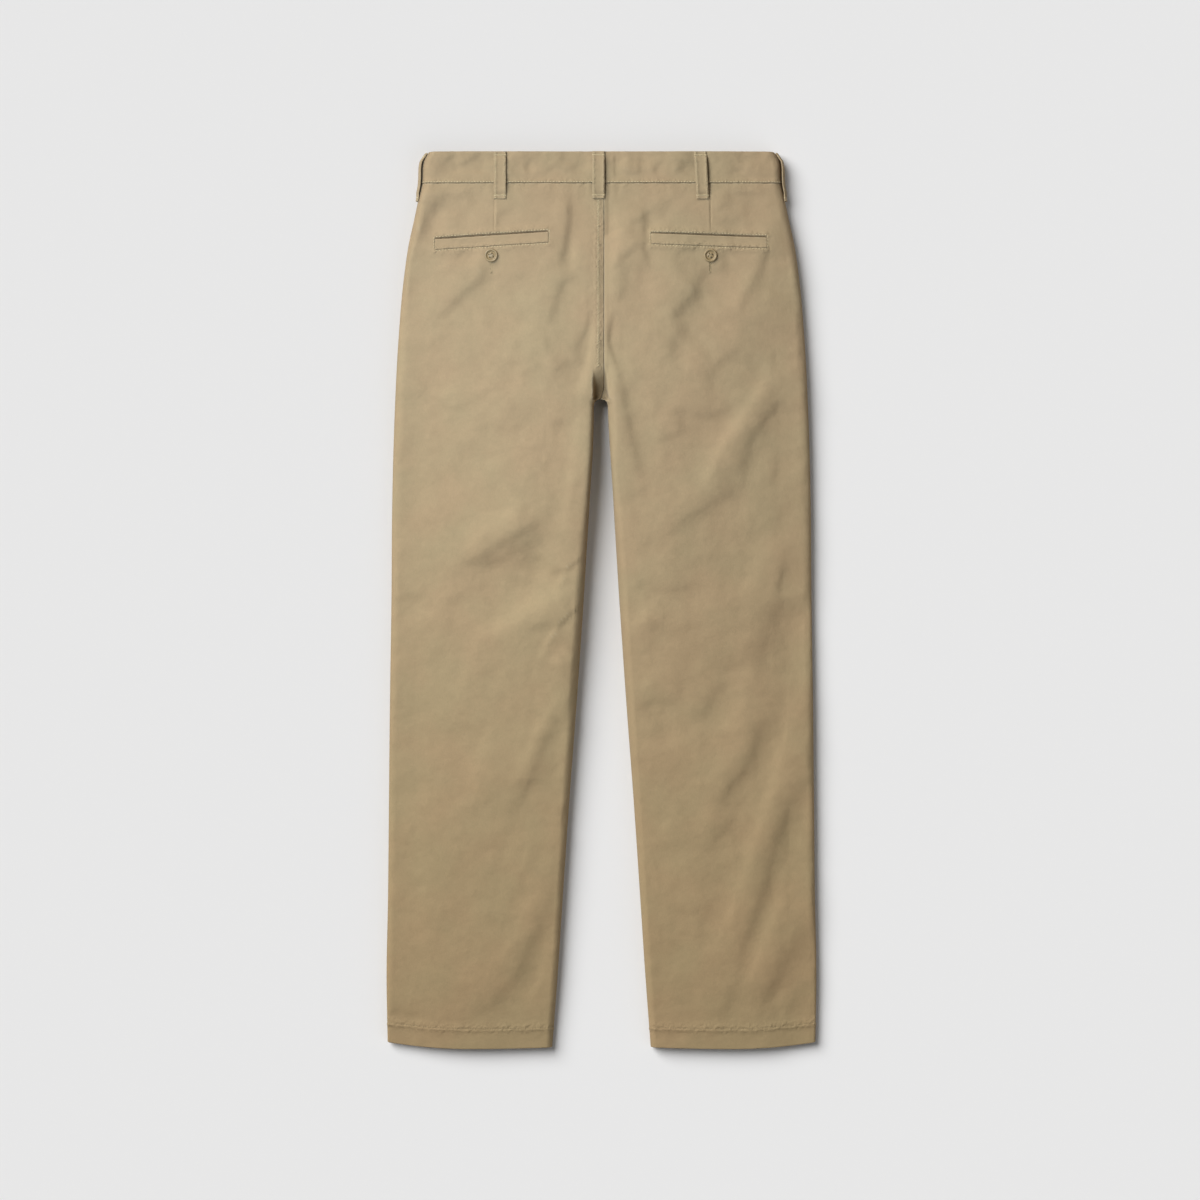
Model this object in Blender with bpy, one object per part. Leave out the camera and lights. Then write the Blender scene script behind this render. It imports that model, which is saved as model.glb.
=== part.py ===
"""Khaki twill work trousers, laid flat on a surface with the back up, in metres.

+X is the wearer's right, +Y runs from the hems to the waist and +Z is up.  The origin is
on the surface, under the middle of the garment.  A place on the garment is given by its
drop, which is how far it lies below the waist edge, and by how far it lies across.

Each cut piece is a thin wall.  A back panel arches over the top of its side and a front
panel lies under it.  They meet at the side seam and at the inseam, and so leave the legs
and the seat hollow, as they are when the cloth is smoothed flat by hand.
"""
import math
from collections import namedtuple

import bmesh
import bpy
import numpy as np
from mathutils import Matrix, Vector

# ------------------------------------------------------------------ driving dimensions

LENGTH = 1.078                # waist edge to the lowest point of the hems
WAIST_EDGE_Y = LENGTH / 2
CLOTH = 0.0012                # one layer of twill with its slight loft
SEAM_GAP = 0.0003             # between pieces that are sewn together

WAISTBAND_DEPTH = 0.038
WAISTBAND_THICKNESS = 0.0026
WAISTBAND_PROUD = 0.0006      # outer face of the band above the face of the panels
WAISTBAND_OVERLAP = 0.020     # the left end reaches this far past the centre front
WAISTBAND_UNDERLAP = 0.016    # the right end reaches this far under the left one
LAP_STEP = 0.0031             # how far the right end is set in to lie under the left one

HEM_DEPTH = 0.025             # turned up inside, so the wall is two layers there
HEM_SIDE_RISE = 0.0080        # the hem is this much shorter at the side seam
HEM_INNER_RISE = 0.0020       # and this much shorter at the inseam

CROTCH_DROP = 0.297
CROTCH_RADIUS = 0.009         # round end of the gap between the legs
SEAT_DIVE_DROP = 0.258        # from here the seat seam turns down to the crotch
SEAT_VALLEY = 0.0022          # the seat seam lies this much below the cloth beside it
SEAT_CROWN = 0.0015           # swell of a back panel between its two edges
SIDE_SEAM_SHARE = 0.42        # height of the side seam as a share of the edge's height
INSEAM_SHARE = 0.42           # the same for the inseam
FRONT_LIFT = 0.00465          # the front waist lies on its loops and button

LOOP_WIDTH = 0.015
LOOP_COLUMNS = 2
SIDE_LOOP_COLUMNS = 5
WELT_DEPTH = 0.0125
WELT_THICKNESS = 0.0013
BUTTON_DIAMETER = 0.0160
BUTTON_THICKNESS = 0.0026
BUTTON_HOLE_DIAMETER = 0.0018
BUTTON_HOLE_SPACING = 0.0034
BUTTON_SIDES = 20

# ---------------------------------------------------------------------------- tables

# The closed outline of one leg, or of one half above the crotch, at each drop.
Section = namedtuple(
    "Section",
    "drop half_width half_gap outer_height inner_height outer_round inner_round")
SECTIONS = [
    Section(0.000, 0.2066, 0.0084, 0.0190, 0.0210, 0.010, 0.010),
    Section(0.005, 0.2104, 0.0084, 0.0192, 0.0212, 0.010, 0.010),
    Section(0.038, 0.2160, 0.0084, 0.0200, 0.0228, 0.011, 0.010),
    Section(0.059, 0.2206, 0.0084, 0.0206, 0.0242, 0.012, 0.010),
    Section(0.083, 0.2256, 0.0084, 0.0212, 0.0260, 0.013, 0.011),
    Section(0.107, 0.2310, 0.0084, 0.0218, 0.0276, 0.014, 0.012),
    Section(0.155, 0.2380, 0.0084, 0.0224, 0.0304, 0.014, 0.014),
    Section(0.227, 0.2442, 0.0084, 0.0226, 0.0336, 0.014, 0.015),
    Section(0.323, 0.2490, 0.0085, 0.0222, 0.0360, 0.014, 0.015),
    Section(0.419, 0.2516, 0.0139, 0.0206, 0.0356, 0.014, 0.013),
    Section(0.539, 0.2526, 0.0212, 0.0194, 0.0320, 0.012, 0.012),
    Section(0.659, 0.2544, 0.0294, 0.0192, 0.0262, 0.011, 0.011),
    Section(0.779, 0.2556, 0.0384, 0.0192, 0.0228, 0.010, 0.010),
    Section(0.899, 0.2568, 0.0465, 0.0190, 0.0212, 0.010, 0.009),
    Section(0.995, 0.2585, 0.0528, 0.0184, 0.0198, 0.009, 0.009),
    Section(1.078, 0.2572, 0.0590, 0.0172, 0.0178, 0.009, 0.008),
]

# The seat seam runs a little to the right of the middle and comes back at the crotch.
SeamPlace = namedtuple("SeamPlace", "drop x")
SEAT_SEAM = [
    SeamPlace(0.000, 0.0030),
    SeamPlace(0.255, 0.0030),
    SeamPlace(0.297, -0.0010),
    SeamPlace(0.360, 0.0000),
]

# The largest soft folds of the back panels: troughs where depth is positive.
Fold = namedtuple("Fold", "name side depth width start middle end")
FOLDS = [
    Fold("left_seat", -1, 0.0030, 0.013, (0.046, 0.053), (0.052, 0.134), (0.069, 0.215)),
    Fold("left_thigh", -1, 0.0034, 0.018, (0.180, 0.498), (0.135, 0.478), (0.070, 0.454)),
    Fold("left_calf", -1, 0.0024, 0.014, (0.052, 0.715), (0.082, 0.758), (0.115, 0.810)),
    Fold("right_rise", 1, 0.0036, 0.014, (0.016, 0.190), (0.018, 0.262), (0.046, 0.383)),
    Fold("right_seat", 1, 0.0026, 0.016, (0.120, 0.156), (0.107, 0.178), (0.084, 0.204)),
    Fold("right_thigh", 1, 0.0030, 0.018, (0.214, 0.292), (0.172, 0.372), (0.082, 0.452)),
    Fold("right_calf", 1, 0.0034, 0.016, (0.238, 0.728), (0.198, 0.879), (0.154, 1.020)),
]

# Rows of the panels: close together round the crotch, wide apart down the legs.
PANEL_DROPS = [
    0.0382, 0.048, 0.062, 0.080, 0.100, 0.122, 0.150, 0.185, 0.220, 0.250,
    0.270, 0.283, 0.291, 0.297, 0.299, 0.302, 0.306, 0.320, 0.350, 0.390,
    0.435, 0.480, 0.530, 0.585, 0.645, 0.705, 0.765, 0.825, 0.880, 0.930,
    0.980, 1.025, 1.053, 1.078,
]
BAND_DROPS = [0.0, 0.005, 0.021, 0.0378]

# A strap is seated at its two ends and stands off the cloth between them.
StrapRow = namedtuple("StrapRow", "along under over")
STRAP = [
    StrapRow(0.000, 0.0004, 0.0022),
    StrapRow(0.006, 0.0004, 0.0030),
    StrapRow(0.009, 0.0018, 0.0034),
    StrapRow(0.030, 0.0022, 0.0036),
    StrapRow(0.048, 0.0018, 0.0034),
    StrapRow(0.051, 0.0004, 0.0030),
    StrapRow(0.057, 0.0004, 0.0020),
]

# Where each loop crosses the waistband: x at its top and at its bottom end.
Loop = namedtuple("Loop", "name layer top_x bottom_x top_drop")
LOOPS = [
    Loop("belt_loop_centre_back", "back", -0.0036, -0.0036, 0.0000),
    Loop("belt_loop_back_left", "back", -0.1218, -0.1218, 0.0004),
    Loop("belt_loop_back_right", "back", 0.1184, 0.1214, 0.0004),
    Loop("belt_loop_front_left", "front", -0.1000, -0.1000, 0.0004),
    Loop("belt_loop_front_right", "front", 0.1000, 0.1000, 0.0004),
]
SIDE_LOOP_TOP_DROP = 0.0030
SIDE_LOOP_TOWARDS_BACK = 0.0010   # its middle lies this far above the side seam
SIDE_LOOP_EASE = 0.0006           # extra room where it bends round the edge

# The slit of each back pocket, from its inner to its outer end.
Welt = namedtuple("Welt", "name side inner_x inner_drop outer_x outer_drop")
WELTS = [
    Welt("pocket_welt_left", -1, 0.0637, 0.0973, 0.1997, 0.1055),
    Welt("pocket_welt_right", 1, 0.0596, 0.0991, 0.1984, 0.1037),
]

Button = namedtuple("Button", "name layer x drop")
BUTTONS = [
    Button("pocket_button_left", "back", -0.1322, 0.1253),
    Button("pocket_button_right", "back", 0.1304, 0.1253),
    Button("waist_button", "front", 0.0080, 0.0190),
]

# A turned button: radius and height of each corner, as shares of its size.
ButtonCorner = namedtuple("ButtonCorner", "radius height")
BUTTON_PROFILE = [
    ButtonCorner(0.00, 0.00),
    ButtonCorner(0.78, 0.00),
    ButtonCorner(1.00, 0.42),
    ButtonCorner(0.94, 0.88),
    ButtonCorner(0.82, 1.00),
    ButtonCorner(0.66, 0.84),
    ButtonCorner(0.56, 0.60),
    ButtonCorner(0.00, 0.60),
]

# ------------------------------------------------------------------- the cloth's form


def smooth_step(value):
    """Ease from 0 to 1, level at both ends."""
    value = np.clip(value, 0.0, 1.0)
    return value * value * (3.0 - 2.0 * value)


def along(column, drop):
    """One column of SECTIONS at a drop, on a smooth curve through the rows."""
    places = np.array([row.drop for row in SECTIONS])
    values = np.array([getattr(row, column) for row in SECTIONS])
    slopes = np.gradient(values, places)
    first = np.clip(np.searchsorted(places, drop) - 1, 0, len(places) - 2)
    span = places[first + 1] - places[first]
    t = (drop - places[first]) / span
    return ((2 * t**3 - 3 * t**2 + 1) * values[first]
            + (t**3 - 2 * t**2 + t) * span * slopes[first]
            + (3 * t**2 - 2 * t**3) * values[first + 1]
            + (t**3 - t**2) * span * slopes[first + 1])


def seat_seam_x(drop):
    """Where the centre seam lies across."""
    return np.interp(drop, [row.drop for row in SEAT_SEAM], [row.x for row in SEAT_SEAM])


def inner_edge_x(side, drop):
    """The centre seam's edge, then half of the gap between the legs, round at its end."""
    reach = np.clip((drop - CROTCH_DROP) / CROTCH_RADIUS, 0.0, 1.0)
    half_gap = along("half_gap", drop) * np.sqrt(1.0 - (1.0 - reach) ** 2)
    return side * seat_seam_x(drop) + half_gap + SEAM_GAP / 2


def inner_shoulder_x(drop):
    """Where the rounding of the inner edge ends and the flat stretch starts."""
    return along("half_gap", drop) + along("inner_round", drop)


def crotch_dive(drop):
    """0 above the crotch's bend, 1 from the crotch down."""
    return np.clip((drop - SEAT_DIVE_DROP) / (CROTCH_DROP - SEAT_DIVE_DROP), 0.0, 1.0)


def front_rest(drop):
    """Height of the underside: the front waist is held up by its loops."""
    return FRONT_LIFT * (1.0 - smooth_step((drop - 0.036) / 0.070))


def inner_seam_height(layer, drop):
    """Height of the inner edge: the centre seam, then the inseam."""
    crown = along("inner_height", drop)
    inseam = INSEAM_SHARE * crown
    bend = np.sqrt(1.0 - crotch_dive(drop) ** 2)
    if layer == "back":
        valley = SEAT_VALLEY * smooth_step((drop - 0.040) / 0.050)
        return inseam + (crown - valley - inseam) * bend
    return inseam + (front_rest(drop) - inseam) * bend


def fold_depth(side, x, drop):
    """How far the folds of one back panel sink its cloth at a place."""
    sunk = np.zeros(np.broadcast(x, drop).shape)
    for fold in FOLDS:
        if fold.side != side:
            continue
        nearest = np.full(sunk.shape, np.inf)
        for (x0, drop0), (x1, drop1) in ((fold.start, fold.middle), (fold.middle, fold.end)):
            run = (x1 - x0) ** 2 + (drop1 - drop0) ** 2
            t = np.clip(((x - x0) * (x1 - x0) + (drop - drop0) * (drop1 - drop0)) / run, 0, 1)
            away = (x - x0 - t * (x1 - x0)) ** 2 + (drop - drop0 - t * (drop1 - drop0)) ** 2
            nearest = np.minimum(nearest, away)
        sunk += fold.depth * np.exp(-nearest / fold.width**2)
    return sunk


def hem_rise(share, drop):
    """How far the hem edge is lifted towards the waist, by its place across."""
    near_hem = smooth_step((drop - 0.900) / (LENGTH - 0.900))
    outwards = np.clip(2.0 * share - 1.0, 0.0, 1.0) ** 2
    inwards = np.clip(1.0 - 2.0 * share, 0.0, 1.0) ** 2
    return near_hem * (HEM_SIDE_RISE * outwards + HEM_INNER_RISE * inwards)


def panel_points(layer, side, drop, across):
    """Points on the outer face of a panel.

    across runs from 0 at the centre seam or inseam to 1 where the inner rounding ends,
    to 2 where the outer rounding starts and to 3 at the side seam.
    """
    drop, across = np.broadcast_arrays(np.asarray(drop, float), np.asarray(across, float))
    inner_x = inner_edge_x(side, drop)
    shoulder_x = inner_shoulder_x(drop)
    outer_x = along("half_width", drop)
    outer_round = along("outer_round", drop)
    if layer == "back":
        inner_top = along("inner_height", drop)
        outer_top = along("outer_height", drop)
        apart = SEAM_GAP / 2
    else:
        inner_top = front_rest(drop)
        outer_top = inner_top
        apart = -SEAM_GAP / 2
    at_inseam = crotch_dive(drop)
    inner_seam = inner_seam_height(layer, drop) + apart * at_inseam
    outer_seam = SIDE_SEAM_SHARE * along("outer_height", drop) + apart
    inner = np.clip(across, 0.0, 1.0)
    flat = np.clip(across - 1.0, 0.0, 1.0)
    outer = np.clip(across - 2.0, 0.0, 1.0) * math.pi / 2
    turned = inner * math.pi / 2
    reach = (1.0 - at_inseam) * inner + at_inseam * (1.0 - np.cos(turned))
    climb = (1.0 - at_inseam) * smooth_step(inner) + at_inseam * np.sin(turned)
    span = outer_x - outer_round - shoulder_x
    x = inner_x + (shoulder_x - inner_x) * reach + span * flat + outer_round * np.sin(outer)
    z = (inner_seam + (inner_top - inner_seam) * climb
         + (outer_top - inner_top) * smooth_step(flat)
         - (outer_top - outer_seam) * (1.0 - np.cos(outer)))
    if layer == "back":
        away_from_edges = smooth_step(across) * smooth_step((3.0 - across) / 0.8)
        z = z + SEAT_CROWN * np.sin(math.pi * flat) - fold_depth(side, x, drop) * away_from_edges
    share = (x - inner_x) / (outer_x - inner_x)
    y = WAIST_EDGE_Y - drop + hem_rise(share, drop)
    return np.stack([side * x, y, z], axis=-1)


def panel_normals(layer, side, drop, across):
    """Outward directions on a panel.  At an edge they stay in the plane of its seam."""
    drop, across = np.broadcast_arrays(np.asarray(drop, float), np.asarray(across, float))
    step = 0.0005
    over = (panel_points(layer, side, drop, np.minimum(across + step, 3.0))
            - panel_points(layer, side, drop, np.maximum(across - step, 0.0)))
    low = np.maximum(drop - step, 0.0)
    high = np.minimum(drop + step, LENGTH)
    down = panel_points(layer, side, high, across) - panel_points(layer, side, low, across)
    facing = -side if layer == "back" else side
    normal = np.cross(over, down) * facing
    sideways = np.stack([-down[..., 1], down[..., 0], 0.0 * drop], axis=-1)
    at_side_seam = across >= 3.0
    normal[at_side_seam] = (side * sideways)[at_side_seam]
    at_inseam = (across <= 0.0) & (drop > CROTCH_DROP + step)
    normal[at_inseam] = (-side * sideways)[at_inseam]
    upwards = np.stack([0.0 * drop, -down[..., 2], down[..., 1]], axis=-1)
    at_centre = (across <= 0.0) & (drop < CROTCH_DROP - step)
    facing_up = -1.0 if layer == "back" else 1.0
    normal[at_centre] = (facing_up * upwards)[at_centre]
    at_crotch = (across <= 0.0) & (np.abs(drop - CROTCH_DROP) <= step)
    normal[at_crotch] = (0.0, -1.0, 0.0)
    at_ends = (drop <= 0.0390) | (drop >= LENGTH - step)
    normal[at_ends, 1] = 0.0
    return normal / np.linalg.norm(normal, axis=-1, keepdims=True)


def place_across(side, drop, x):
    """The value of across where a place above the crotch lies at x."""
    inner_x = inner_edge_x(side, drop)
    shoulder_x = inner_shoulder_x(drop)
    outer_start = along("half_width", drop) - along("outer_round", drop)
    inner = np.clip((side * x - inner_x) / (shoulder_x - inner_x), 0.0, 1.0)
    return inner + np.clip((side * x - shoulder_x) / (outer_start - shoulder_x), 0.0, 1.0)


def side_of(x):
    """Left or right half of the garment, split at the centre seam."""
    return 1 if x > SEAT_SEAM[0].x else -1


# ------------------------------------------------------------------- making the pieces


def clear_scene():
    for old in list(bpy.data.objects):
        bpy.data.objects.remove(old, do_unlink=True)


def make_material(name, colour, roughness):
    material = bpy.data.materials.new(name)
    material.use_nodes = True
    shader = material.node_tree.nodes["Principled BSDF"]
    shader.inputs["Base Color"].default_value = (*colour, 1.0)
    shader.inputs["Roughness"].default_value = roughness
    shader.inputs["Metallic"].default_value = 0.0
    material.diffuse_color = (*colour, 1.0)
    return material


def add_object(name, mesh_data, material):
    mesh_data.materials.append(material)
    mesh_data.shade_smooth()
    mesh_data.set_sharp_from_angle(angle=math.radians(40))
    piece = bpy.data.objects.new(name, mesh_data)
    bpy.context.scene.collection.objects.link(piece)
    return piece


def add_wall(name, outer, inner, material):
    """A closed wall between an outer and an inner grid of points, with a rim all round."""
    mesh = bmesh.new()
    faces = [[[mesh.verts.new(point) for point in row] for row in grid] for grid in (outer, inner)]
    rows, columns = outer.shape[:2]
    for grid in faces:
        for row in range(rows - 1):
            for column in range(columns - 1):
                mesh.faces.new((grid[row][column], grid[row + 1][column],
                                grid[row + 1][column + 1], grid[row][column + 1]))
    rim = [(0, column) for column in range(columns)]
    rim += [(row, columns - 1) for row in range(1, rows)]
    rim += [(rows - 1, column) for column in range(columns - 2, -1, -1)]
    rim += [(row, 0) for row in range(rows - 2, 0, -1)]
    for (row0, column0), (row1, column1) in zip(rim, rim[1:] + rim[:1]):
        mesh.faces.new((faces[0][row0][column0], faces[0][row1][column1],
                        faces[1][row1][column1], faces[1][row0][column0]))
    bmesh.ops.recalc_face_normals(mesh, faces=mesh.faces)
    mesh_data = bpy.data.meshes.new(name)
    mesh.to_mesh(mesh_data)
    mesh.free()
    return add_object(name, mesh_data, material)


def steps_across(inner, flat, outer):
    """Values of across with the given number of steps in each of its three stretches."""
    return np.concatenate([np.linspace(0.0, 1.0, inner + 1),
                           np.linspace(1.0, 2.0, flat + 1)[1:],
                           np.linspace(2.0, 3.0, outer + 1)[1:]])


def add_panel(name, layer, side, across, material):
    drop = np.array(PANEL_DROPS)[:, None]
    outer = panel_points(layer, side, drop, across)
    normals = panel_normals(layer, side, drop, across)
    layers = np.where(drop >= LENGTH - HEM_DEPTH - 0.001, 2.0, 1.0)
    inner = outer - normals * (CLOTH * layers)[..., None]
    return add_wall(name, outer, inner, material)


def add_waistband(name, side, material):
    """One half of the band: over the top, round the side and along the front."""
    drop = np.array(BAND_DROPS)[:, None]
    over_back = steps_across(1, 6, 3)
    round_front = np.array([3.0, 2.66, 2.33, 2.0])[1:]
    points = [panel_points("back", side, drop, over_back),
              panel_points("front", side, drop, round_front)]
    normals = [panel_normals("back", side, drop, over_back),
               panel_normals("front", side, drop, round_front)]
    front_end = -WAISTBAND_OVERLAP if side < 0 else -WAISTBAND_UNDERLAP
    fixed = np.array([0.150, 0.090, 0.045, 0.030, 0.010, front_end])
    x = np.broadcast_to(fixed, (len(BAND_DROPS), len(fixed)))
    set_in = LAP_STEP * smooth_step((0.042 - x) / 0.010) if side > 0 else 0.0 * x
    z = front_rest(drop) + set_in
    y = WAIST_EDGE_Y - drop + 0.0 * x
    points.append(np.stack([side * x, y, z], axis=-1))
    normals.append(np.broadcast_to((0.0, 0.0, -1.0), points[-1].shape))
    points = np.concatenate(points, axis=1)
    normals = np.concatenate(normals, axis=1)
    outer = points + normals * WAISTBAND_PROUD
    inner = points + normals * (WAISTBAND_PROUD - WAISTBAND_THICKNESS)
    return add_wall(name, outer, inner, material)


def add_strap(name, place, columns, top_drop, material):
    """A belt loop over the waistband; place gives points and normals at drop and share."""
    share = np.linspace(-0.5, 0.5, columns + 1)
    rows = np.array([top_drop + row.along for row in STRAP])[:, None]
    points, normals = place(rows, share)
    on_band = WAISTBAND_PROUD * (1.0 - smooth_step((rows - 0.036) / 0.006))[..., None]
    under = np.array([row.under for row in STRAP])[:, None, None]
    over = np.array([row.over for row in STRAP])[:, None, None]
    outer = points + normals * (on_band + over)
    inner = points + normals * (on_band + under)
    return add_wall(name, outer, inner, material)


def add_flat_loop(loop, material):
    """A loop on the back or on the front, where the band lies flat."""
    def place(rows, share):
        slant = (rows - loop.top_drop) / STRAP[-1].along
        x = loop.top_x + (loop.bottom_x - loop.top_x) * slant + LOOP_WIDTH * share
        points = np.zeros(x.shape + (3,))
        normals = np.zeros(x.shape + (3,))
        on_cloth = np.maximum(rows, 0.0) + 0.0 * x
        for side in (-1, 1):
            here = (x > SEAT_SEAM[0].x) == (side > 0)
            across = place_across(side, on_cloth[here], x[here])
            points[here] = panel_points(loop.layer, side, on_cloth[here], across)
            normals[here] = panel_normals(loop.layer, side, on_cloth[here], across)
        points[..., 0] = x
        points[..., 1] = WAIST_EDGE_Y - rows
        normals[..., 0:2] = 0.0
        normals[..., 2] = np.sign(normals[..., 2])
        return points, normals
    return add_strap(loop.name, place, LOOP_COLUMNS, loop.top_drop, material)


def add_side_loop(name, side, material):
    """A loop over the side seam, bent round the edge of the band."""
    def cloth(measure, rows, turn):
        back = measure("back", side, rows, 3.0 - np.maximum(turn, 0.0))
        front = measure("front", side, rows, 3.0 + np.minimum(turn, 0.0))
        return np.where((turn >= 0.0)[..., None], back, front)

    turns = np.linspace(-1.0, 1.0, 201)
    ring = cloth(panel_points, np.full(turns.shape, WAISTBAND_DEPTH / 2), turns)
    lengths = np.concatenate([[0.0], np.cumsum(np.linalg.norm(np.diff(ring, axis=0), axis=1))])
    lengths -= np.interp(0.0, turns, lengths)

    def place(rows, share):
        turn = np.interp(LOOP_WIDTH * share + SIDE_LOOP_TOWARDS_BACK, lengths, turns)
        rows, turn = np.broadcast_arrays(rows, turn)
        normals = cloth(panel_normals, rows, turn)
        return cloth(panel_points, rows, turn) + SIDE_LOOP_EASE * normals, normals
    return add_strap(name, place, SIDE_LOOP_COLUMNS, SIDE_LOOP_TOP_DROP, material)


def add_welt(welt, material):
    """The welt lies on its back panel, just below the slit."""
    share = np.linspace(0.0, 1.0, 9)
    rows = np.array([0.0, 0.5, 1.0])[:, None]
    x = welt.inner_x + (welt.outer_x - welt.inner_x) * share + 0.0 * rows
    slit = welt.inner_drop + (welt.outer_drop - welt.inner_drop) * share
    drop = slit + WELT_DEPTH * rows
    across = place_across(welt.side, drop, welt.side * x)
    points = panel_points("back", welt.side, drop, across)
    normals = panel_normals("back", welt.side, drop, across)
    inner = points + normals * SEAM_GAP
    outer = inner + normals * WELT_THICKNESS
    return add_wall(welt.name, outer, inner, material)


def turned_button(name):
    """A sew-through button, made by spinning half of its outline."""
    mesh = bmesh.new()
    radius = BUTTON_DIAMETER / 2
    outline = [mesh.verts.new((corner.radius * radius, 0.0, corner.height * BUTTON_THICKNESS))
               for corner in BUTTON_PROFILE]
    edges = [mesh.edges.new(pair) for pair in zip(outline, outline[1:])]
    bmesh.ops.spin(mesh, geom=outline + edges, axis=(0, 0, 1), cent=(0, 0, 0), dvec=(0, 0, 0),
                   angle=2 * math.pi, steps=BUTTON_SIDES, use_merge=True)
    bmesh.ops.remove_doubles(mesh, verts=mesh.verts, dist=0.00001)
    bmesh.ops.recalc_face_normals(mesh, faces=mesh.faces)
    mesh_data = bpy.data.meshes.new(name)
    mesh.to_mesh(mesh_data)
    mesh.free()
    return mesh_data


def hole_cutter():
    """Four upright pins that cut the thread holes."""
    mesh = bmesh.new()
    for x_sign in (-1, 1):
        for y_sign in (-1, 1):
            centre = Vector((x_sign, y_sign, 0.0)) * BUTTON_HOLE_SPACING / 2
            centre.z = BUTTON_THICKNESS / 2
            bmesh.ops.create_cone(mesh, cap_ends=True, segments=8,
                                  radius1=BUTTON_HOLE_DIAMETER / 2,
                                  radius2=BUTTON_HOLE_DIAMETER / 2,
                                  depth=BUTTON_THICKNESS * 2, matrix=Matrix.Translation(centre))
    mesh_data = bpy.data.meshes.new("button_hole_pins")
    mesh.to_mesh(mesh_data)
    mesh.free()
    return mesh_data


def add_button(button, material):
    side = side_of(button.x)
    if button.layer == "back":
        across = place_across(side, button.drop, button.x)
        point = panel_points("back", side, button.drop, across)
        normal = panel_normals("back", side, button.drop, across)
        turn = np.linspace(0.0, 2 * math.pi, BUTTON_SIDES + 1)
        rim_x = button.x + BUTTON_DIAMETER / 2 * np.cos(turn)
        rim_drop = button.drop + BUTTON_DIAMETER / 2 * np.sin(turn)
        rim_across = place_across(side, rim_drop, rim_x)
        rim = panel_points("back", side, rim_drop, rim_across)
        lift = SEAM_GAP + max(0.0, np.max((rim - point) @ normal))
    else:
        point = np.array([button.x, WAIST_EDGE_Y - button.drop, front_rest(button.drop)])
        normal = np.array([0.0, 0.0, -1.0])
        lift = WAISTBAND_PROUD + SEAM_GAP
    placed = Vector(point + normal * lift)
    turned = Vector(normal).to_track_quat("Z", "Y")
    piece = add_object(button.name, turned_button(button.name), material)
    piece.location = placed
    piece.rotation_euler = turned.to_euler()
    pins = bpy.data.objects.new(button.name + "_pins", hole_cutter())
    bpy.context.scene.collection.objects.link(pins)
    pins.location = placed
    pins.rotation_euler = turned.to_euler()
    pins.display_type = "WIRE"
    pins.hide_render = True
    cut = piece.modifiers.new("thread_holes", "BOOLEAN")
    cut.operation = "DIFFERENCE"
    cut.solver = "EXACT"
    cut.object = pins
    return piece


def build():
    clear_scene()
    twill = make_material("khaki_twill", (0.38, 0.29, 0.18), 0.9)
    band_twill = make_material("khaki_twill_band", (0.39, 0.30, 0.19), 0.9)
    button_resin = make_material("khaki_button_resin", (0.34, 0.26, 0.15), 0.45)
    back_steps = steps_across(3, 10, 3)
    front_steps = steps_across(2, 4, 3)
    for side, word in ((-1, "left"), (1, "right")):
        add_panel("back_" + word, "back", side, back_steps, twill)
        add_panel("front_" + word, "front", side, front_steps, twill)
        add_waistband("waistband_" + word, side, band_twill)
        add_side_loop("belt_loop_side_" + word, side, band_twill)
    for loop in LOOPS:
        add_flat_loop(loop, band_twill)
    for welt in WELTS:
        add_welt(welt, band_twill)
    for button in BUTTONS:
        add_button(button, button_resin)


build()
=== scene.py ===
# %% [markdown]
# # Khaki work trousers, laid flat with the back up
#
# The real thing is a pair of chinos cut from cotton twill.  They lie on a pale surface and
# a camera looks straight down at the seat.  We load the measured solids as a frame first,
# because every piece of cloth below has to lie exactly where its solid lies.

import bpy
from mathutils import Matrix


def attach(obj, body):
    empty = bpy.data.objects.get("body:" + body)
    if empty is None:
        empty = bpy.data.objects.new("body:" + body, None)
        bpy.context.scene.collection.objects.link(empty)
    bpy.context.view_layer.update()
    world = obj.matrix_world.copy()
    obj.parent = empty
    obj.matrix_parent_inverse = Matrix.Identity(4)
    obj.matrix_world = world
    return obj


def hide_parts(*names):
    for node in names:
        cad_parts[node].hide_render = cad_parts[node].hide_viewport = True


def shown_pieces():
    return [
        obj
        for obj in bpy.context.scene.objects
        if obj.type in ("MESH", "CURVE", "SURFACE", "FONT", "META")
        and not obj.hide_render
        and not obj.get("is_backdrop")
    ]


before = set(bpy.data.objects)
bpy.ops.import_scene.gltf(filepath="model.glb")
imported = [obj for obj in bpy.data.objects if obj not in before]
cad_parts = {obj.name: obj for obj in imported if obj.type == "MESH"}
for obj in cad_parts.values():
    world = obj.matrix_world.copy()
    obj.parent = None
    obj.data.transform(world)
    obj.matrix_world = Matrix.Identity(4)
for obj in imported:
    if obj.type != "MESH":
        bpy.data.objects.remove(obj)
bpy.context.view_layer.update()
print("nodes in the frame:", len(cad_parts))

# %% Modules
import math
from collections import namedtuple

import bmesh
import bpy
import numpy as np
from mathutils import Matrix, Vector

# %% [markdown]
# ## The camera
#
# A garment photographed flat is shot from high above with a long lens, so that its sides
# do not lean.  One pixel of the photo is 1.2 mm, so 1200 pixels show 1.44 m of the
# surface.  The lens follows from that width and from the height of the camera.

# %% Camera
PHOTO_PIXELS = 1200
PIXEL = 0.0012                      # metres of the garment under one pixel
MIDDLE_OF_GARMENT = (601.5, 600.5)  # the pixel over the origin
CAMERA_HEIGHT = 6.0
CLOTH_LEVEL = 0.02                  # the height at which the scale is exact

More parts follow.
